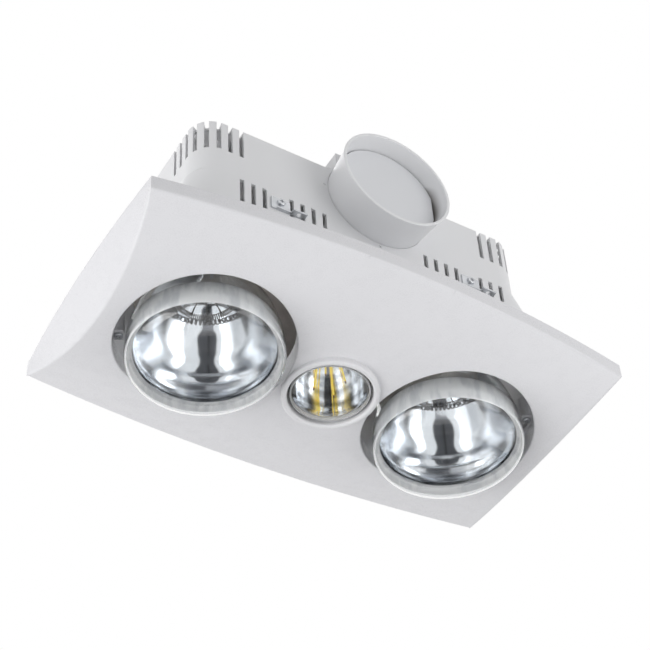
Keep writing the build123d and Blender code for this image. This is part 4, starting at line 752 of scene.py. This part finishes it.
spotLamp = {
    "wall": 1.2,
    "line": [(0, -41.5), (9, -41.1), (18, -39.9), (26, -38.0), (31.4, -35.8), (33.4, -33.4), (33.5, -31),
             (32.6, -25), (30.5, -15.5), (26.3, -3.5), (20.6, 8), (15.8, 16.5), (14, 24)],
    "neck": [(14, 27.5), (13, 29), (11.5, 33), (11.5, 41), (0, 41)],
    "silver": [(31.2, -30.9), (31.3, -29.6), (30.6, -26.0), (28.6, -15.8), (24.4, -4.0), (18.7, 7.4),
               (14.2, 15.9), (12.4, 24)],
    "rim": [(31.0, -31.3), (31.4, -34.4), (32.0, -34.2), (32.3, -32.4), (32.1, -29.6), (31.6, -28.6),
            (31.5, -30.2)],
    "ripple": 0.06,
}
# Points and columns of the turned lamp pieces, and the silver's thickness and the pitch of its ripples
turning = {"glassPoints": 7, "silverPoints": 9, "rimPoints": 36, "columns": 128, "rimColumns": 160,
           "silver": 0.22, "ripplePitch": 9.0}


# Closed shell of a lamp's glass: its outer line out, and the same line moved in by the wall
def lampGlass(lamp, x, name, nodes):
    wall, columns = lamp["wall"], turning["columns"]
    outer = np.vstack([smoothLine(lamp["line"], turning["glassPoints"]), lamp["neck"]])
    slope = np.gradient(outer, axis=0)
    slope /= np.linalg.norm(slope, axis=1, keepdims=True)
    inner = outer + wall * np.stack([-slope[:, 1], slope[:, 0]], axis=-1)
    inner[:, 0] = np.maximum(inner[:, 0], 0)
    inner[0] = (0, outer[0, 1] + wall)
    inner[-1] = (0, outer[-1, 1] - wall)
    inner[-2] = (outer[-2, 0] - wall, outer[-2, 1] - wall)
    inner[-3] = (outer[-3, 0] - wall, outer[-3, 1])
    outside, inside = [turnedGrid(line, (x, fascia["lampY"], 0), columns) for line in (outer, inner)]
    faces = gridFaces(len(outer), columns, wrapColumns=True)
    makePiece(name, outside, faces, "lampGlass", "lamp_glass", nodes, sharp=50, inner=(inside, faces))


# Silver coat inside the bowl, a thin closed sheet just inside the glass
def silverBowl(lamp, x, name, material):
    line = smoothLine(lamp["silver"], turning["silverPoints"])
    along = np.cumsum(np.r_[0, np.linalg.norm(np.diff(line, axis=0), axis=1)])
    line[:, 0] -= lamp["ripple"] * (0.5 - 0.5 * np.cos(fullTurn * along / turning["ripplePitch"]))
    slope = np.gradient(line, axis=0)
    slope /= np.linalg.norm(slope, axis=1, keepdims=True)
    back = line + turning["silver"] * np.stack([slope[:, 1], -slope[:, 0]], axis=-1)
    profile = np.vstack([line, back[::-1]])
    grid = turnedGrid(profile, (x, fascia["lampY"], 0), turning["columns"])
    faces = gridFaces(len(profile), turning["columns"], wrapRows=True, wrapColumns=True)
    makePiece(name, grid, faces, material, "lamp_glass", sharp=60)


# Rim between the lens and the silver, a closed ring
def lensRim(lamp, x, name, material):
    points, columns = turning["rimPoints"], turning["rimColumns"]
    grid = turnedGrid(evenLine(np.array(lamp["rim"]), points), (x, fascia["lampY"], 0), columns)
    faces = gridFaces(points, columns, wrapRows=True, wrapColumns=True)
    makePiece(name, grid, faces, material, "lamp_glass", sharp=80)


for side, x in (("left", -fascia["lampX"]), ("right", fascia["lampX"])):
    lampGlass(heatLamp, x, side + "LampGlass", [side + "_lamp_glass"])
    silverBowl(heatLamp, x, side + "LampSilver", "bowlSilver")
    lensRim(heatLamp, x, side + "LampRim", "frostedRim")
lampGlass(spotLamp, 0, "centreLampGlass", ["centre_lamp_glass"])
silverBowl(spotLamp, 0, "centreLampSilver", "spotSilver")
lensRim(spotLamp, 0, "centreLampRim", "trimPlastic")
print("lamps made")

# Filament of a heat lamp: a coil bent into a ring, on legs that spread from the bead and bow up a little
coil = {"ring": 24.0, "height": 22.7, "radius": 2.1, "wire": 0.40, "turns": 90, "perTurn": 9, "wireSides": 6,
        "leg": 0.6, "legs": 12, "legSides": 10, "legPoints": 5, "legBow": 1.2, "hook": 0.4, "foot": 6.0,
        "top": 40.2}
sideHint = (0.13, 0.98, 0.11)  # a direction off every axis, which sets where a tube's columns start


def tubeGrid(path, radius, sides):
    ahead = np.gradient(path, axis=0)
    ahead /= np.linalg.norm(ahead, axis=1, keepdims=True)
    side = np.cross(ahead, sideHint)
    side /= np.linalg.norm(side, axis=1, keepdims=True)
    up = np.cross(side, ahead)
    angle = openSpan(0, fullTurn, sides)[:, None]
    return path[:, None] + radius * (side[:, None] * np.cos(angle) + up[:, None] * np.sin(angle))


def cappedTube(path, radius, sides):
    first = np.repeat(path[:1], sides, axis=0)[None]
    last = np.repeat(path[-1:], sides, axis=0)[None]
    grid = np.concatenate([first, tubeGrid(path, radius, sides), last])
    return grid.reshape(-1, 3), gridFaces(len(grid), sides, wrapColumns=True)


def joinGrids(parts):
    verts = []
    faces = []
    count = 0
    for points, quads in parts:
        verts.append(points)
        faces.append(quads + count)
        count += len(points)
    return np.vstack(verts), np.vstack(faces)


def filamentCoil(x):
    t = np.linspace(0, 1, coil["turns"] * coil["perTurn"])
    twist = fullTurn * coil["turns"] * t
    ringTurn = fullTurn * t
    out = coil["ring"] + coil["radius"] * np.cos(twist)
    path = np.stack([x + out * np.cos(ringTurn), fascia["lampY"] + out * np.sin(ringTurn),
                     coil["height"] + coil["radius"] * np.sin(twist)], axis=-1)
    parts = [cappedTube(path * mm, coil["wire"] * mm, coil["wireSides"])]
    centre = np.array([x, fascia["lampY"], 0])
    for turn in range(coil["legs"]):
        angle = fullTurn * turn / coil["legs"]
        aim = np.array([math.cos(angle), math.sin(angle), 0])
        foot = centre + aim * coil["foot"] + np.array([0, 0, coil["top"]])
        hook = centre + aim * coil["ring"] + np.array([0, 0, coil["height"] + coil["hook"]])
        middle = 0.5 * (foot + hook) + np.array([0, 0, coil["legBow"]])
        leg = smoothLine([foot, middle, hook], coil["legPoints"])
        parts.append(cappedTube(leg * mm, coil["leg"] * mm, coil["legSides"]))
    return joinGrids(parts)


for side, x in (("left", -fascia["lampX"]), ("right", fascia["lampX"])):
    verts, faces = filamentCoil(x)
    makePiece(side + "LampFilament", verts, faces, "tungsten", "filament_wire", [side + "_lamp_filament"])

# Light strips of the centre lamp: yellow sticks with brown metal ends, leaning outwards
strips = {"count": 4, "first": 45, "circle": 5.5, "lean": 9.0, "radius": 0.7, "top": 23.4, "length": 50.0,
          "end": 3.2, "endStart": 0.2, "endLap": 0.4, "yellowTip": 1.6, "tip": 2.0, "points": 12, "sides": 16}


# All sticks between two distances from their feet
def stickParts(low, high):
    lean = math.radians(strips["lean"])
    parts = []
    for k in range(strips["count"]):
        angle = math.radians(strips["first"] + k * 360 / strips["count"])
        outward = np.array([math.cos(angle), math.sin(angle), 0])
        foot = np.array([0, fascia["lampY"], strips["top"]]) + strips["circle"] * outward
        ahead = math.sin(lean) * outward + np.array([0, 0, -math.cos(lean)])
        path = foot + ahead * np.linspace(low, high, strips["points"])[:, None]
        parts.append(cappedTube(path * mm, strips["radius"] * mm, strips["sides"]))
    return parts


full = strips["length"]
yellow = joinGrids(stickParts(strips["end"], full - strips["yellowTip"]))
ends = joinGrids(stickParts(strips["endStart"], strips["end"] + strips["endLap"])
                 + stickParts(full - strips["tip"], full))
makePiece("centreLampStrips", *yellow, "yellowPhosphor", "yellow_phosphor", ["centre_lamp_filaments"])
makePiece("centreLampStripEnds", *ends, "pinMetal", "filament_wire")
print("filaments made")

# The spigot, turned about its own axis as (radius, y): a thin rounded lip and a soft foot on the wall.
# Behind the wall its flange is flattened under the housing's roof.
spigot = {
    "x": 3.6,
    "z": 112.5,
    "root": 46.5,
    "mouth": 50.2,
    "lip": 51.3,
    "lipWidth": 1.6,
    "wall": 1.6,
    "wallFace": -85.0,
    "mouthEdge": -119.2,
    "seat": -82.5,
    "flange": 53.0,
    "flangeWidth": 4.0,
    "roof": 133.7,
    "roofStart": 2.0,
    "rounds": (0.4, 0.4, 0.4, 0.4, 3.0, 0.6, 0.5, 0.75, 0.75, 6.0),
    "columns": 192,
    "plastic": ((0.865, 0.870, 0.885), 0.36, 0.0, 0.030),
}
# The brown shadow on the tube's inner wall behind the flap, in metres, widest past the flap's straight side
shadow = {"wall": 0.0457, "flare": 0.108, "edge": 0.0004, "side": (0.036, 0.046), "mouth": 0.119,
          "start": 0.0165, "sideWider": 0.012, "full": 0.0185, "share": 0.85, "tone": (0.20, 0.185, 0.17)}


def tubeShadow(shade, base):
    awayX = shade.axis("X") - spigot["x"] * mm
    awayZ = shade.axis("Z") - spigot["z"] * mm
    y = shade.axis("Y")
    radius = (awayX**2 + awayZ**2) ** 0.5
    inner = shadow["wall"] + shadow["flare"] * (spigot["wallFace"] * mm - y)
    inside = (inner - radius).step(0.0, shadow["edge"])
    side = awayX.step(*shadow["side"])
    depth = (y + shadow["mouth"]).step(shadow["start"] - shadow["sideWider"] * side, shadow["full"])
    return shade.mix(inside * depth * shadow["share"], base, shadow["tone"])


def tubeLine():
    root, wallFace, edge = spigot["root"], spigot["wallFace"], spigot["mouthEdge"]
    flangeFoot = spigot["seat"] + spigot["flangeWidth"]
    lipFoot = edge + spigot["lipWidth"]
    corners = [(root - spigot["wall"], flangeFoot), (spigot["flange"], flangeFoot),
               (spigot["flange"], spigot["seat"]), (root, spigot["seat"]), (root, wallFace),
               (spigot["mouth"], lipFoot), (spigot["lip"], lipFoot), (spigot["lip"], edge),
               (spigot["mouth"] - spigot["wall"], edge), (root - spigot["wall"], wallFace)]
    return roundedLine(corners, spigot["rounds"])


materials["tubePlastic"] = mouldedPlastic("tubePlastic", *spigot["plastic"], tubeShadow)
tube = turnedGrid(tubeLine(), (spigot["x"], 0, spigot["z"]), spigot["columns"], "y")
behindWall = tube[..., 1] > (spigot["wallFace"] + spigot["roofStart"]) * mm
tube[..., 2] = np.where(behindWall, np.minimum(tube[..., 2], spigot["roof"] * mm), tube[..., 2])
makePiece("ductSpigot", tube, gridFaces(len(tube), spigot["columns"], wrapRows=True, wrapColumns=True),
          "tubePlastic", "white_body", ["duct_spigot"], sharp=50)
print("spigot made")


# A flat sheet of the studio from its four corners
def stageSheet(name, corners, material):
    mesh = bpy.data.meshes.new(name)
    mesh.from_pydata(corners, [], [(0, 1, 2, 3)])
    mesh.materials.append(material)
    flat = addObject(name, mesh)
    return flat


# Room: a pale floor far below the ceiling, whiter to the camera and white to mirrors and glass
floor = {"height": -1.45, "half": 9.0, "white": 0.6, "cloud": 3, "dull": (0.80, 0.80, 0.80),
         "light": (0.84, 0.84, 0.84), "rough": 0.8}
floorShade = newShade("paleFloor")
floorMix = floorShade.mix(floorShade.noise(floor["cloud"]), floor["dull"], floor["light"])
matt = floorShade.node("ShaderNodeBsdfPrincipled", {}, {"Base Color": floorMix, "Roughness": floor["rough"]})
bright = floorShade.node("ShaderNodeEmission", {}, {"Color": (1, 1, 1, 1), "Strength": 1.0})
showWhite = floorShade.seenShare(floor["white"])
floorSurface = floorShade.node("ShaderNodeMixShader", {}, {0: showWhite, 1: matt, 2: bright})
half, height = floor["half"], floor["height"]
floorCorners = [(-half, -half, height), (half, -half, height), (half, half, height), (-half, half, height)]
stageSheet("paleFloor", floorCorners, floorShade.finish(floorSurface))

# Dark studio cards that only reflections see:
# azimuth, elevation, distance, width at the top and at the foot, height, shade
cards = {
    "cameraCard": (-123, -45, 1.50, 0.80, 0.80, 0.9, 0.06),
    "farCard": (60, -48.0, 1.30, 1.75, 0.70, 0.60, 0.08),
    "flareCard": (60, -29.5, 1.30, 4.4, 2.6, 0.28, 0.08),
    "neckCard": (60, -67.0, 1.30, 0.60, 0.40, 0.26, 0.28),
    "seamCard": (57, -38, 1.15, 0.16, 0.08, 0.6, 0.01),
    "frontCard": (-100, -14, 1.50, 1.2, 1.2, 0.35, 0.12),
}
cardFinish = {"cloud": 4, "dark": (1, 1, 1.06), "light": (1.2, 1.2, 1.3), "rough": 0.9}
for name, (azimuth, elevation, distance, width, foot, height, tone) in cards.items():
    around, up = math.radians(azimuth), math.radians(elevation)
    away = Vector((math.cos(up) * math.cos(around), math.cos(up) * math.sin(around), math.sin(up)))
    place = distance * away
    turn = (-place).to_track_quat("-Z", "Y").to_matrix()
    corners = [(-foot / 2, -height / 2, 0), (foot / 2, -height / 2, 0), (width / 2, height / 2, 0),
               (-width / 2, height / 2, 0)]
    cardShade = newShade(name)
    dark, light = [tuple(part * tone for part in cardFinish[kind]) for kind in ("dark", "light")]
    cardMix = cardShade.mix(cardShade.noise(cardFinish["cloud"]), dark, light)
    cardMaterial = cardShade.principled({"Base Color": cardMix, "Roughness": cardFinish["rough"]})
    card = stageSheet(name, [tuple(turn @ Vector(corner) + place) for corner in corners], cardMaterial)
    card.visible_camera = False
    card.visible_diffuse = False
    card.visible_shadow = False

# The camera of the photograph, fitted in the part's own frame
photoCamera = {
    "place": (-551.4, -845.6, -962.4),
    "right": (0.8607, -0.5071, -0.0459),
    "down": (0.3311, 0.6259, -0.7061),
    "ahead": (0.3868, 0.5926, 0.7066),
    "lens": 94.455,
    "sensor": 36.0,
    "reach": 50.0,
}
lensData = bpy.data.cameras.new("photoCamera")
lensData.lens = photoCamera["lens"]
lensData.sensor_width = photoCamera["sensor"]
lensData.clip_end = photoCamera["reach"]
cameraPiece = addObject("photoCamera", lensData)
cameraUp = -Vector(photoCamera["down"])
cameraBack = -Vector(photoCamera["ahead"])
axes = Matrix((photoCamera["right"], cameraUp, cameraBack)).transposed()
cameraPiece.matrix_world = Matrix.Translation(Vector(photoCamera["place"]) * mm) @ axes.to_4x4()
bpy.context.scene.camera = cameraPiece

# Studio light: softboxes as (place, aimed at, width, height, watts); the two inside show in no reflection
softboxes = {
    "leftSoftbox": ((-1.5, 0.15, -1.1), (0, 0, 0), 1.3, 1.5, 24),
    "rightSoftbox": ((0.55, -1.0, -0.15), (0.1, 0, 0.05), 0.8, 1.1, 3.9),
    "frontSoftbox": ((-0.3, -1.3, 0.55), (0, 0, 0.08), 1.0, 0.8, 0.65),
    "lowSoftbox": ((0.957, -0.311, -0.973), (0, 0, 0), 0.8, 0.8, 2.2),
    "topSoftbox": ((0.3, 0.9, 1.5), (0, 0, 0), 1.6, 1.6, 8),
    "insideLeft": ((-0.075, 0.045, 0.05), (-0.115, -0.03, 0), 0.05, 0.05, 0.12),
    "insideRight": ((0.075, 0.045, 0.05), (0.115, -0.03, 0), 0.05, 0.05, 0.12),
}
for name, (place, aim, width, height, watts) in softboxes.items():
    lamp = bpy.data.lights.new(name, "AREA")
    lamp.shape = "RECTANGLE"
    lamp.size = width
    lamp.size_y = height
    lamp.energy = watts
    box = addObject(name, lamp)
    box.location = place
    box.rotation_euler = (Vector(aim) - Vector(place)).to_track_quat("-Z", "Y").to_euler()
    box.visible_camera = False
    box.visible_glossy = box.visible_transmission = not name.startswith("inside")

# White surround: dimmer as a light than as the camera, mirrors and glass see it
surround = {"fill": 0.44, "seen": 1.0}
world = bpy.data.worlds.new("whiteSurround")
bpy.context.scene.world = world
sky = Shade(world)
strength = surround["fill"] + (surround["seen"] - surround["fill"]) * sky.seenShare(1.0)
backdrop = sky.node("ShaderNodeBackground", {}, {"Color": (1, 1, 1, 1), "Strength": strength})
sky.finish(backdrop, "ShaderNodeOutputWorld")
bpy.context.scene.view_settings.view_transform = "Standard"
print("stage, camera and light set")
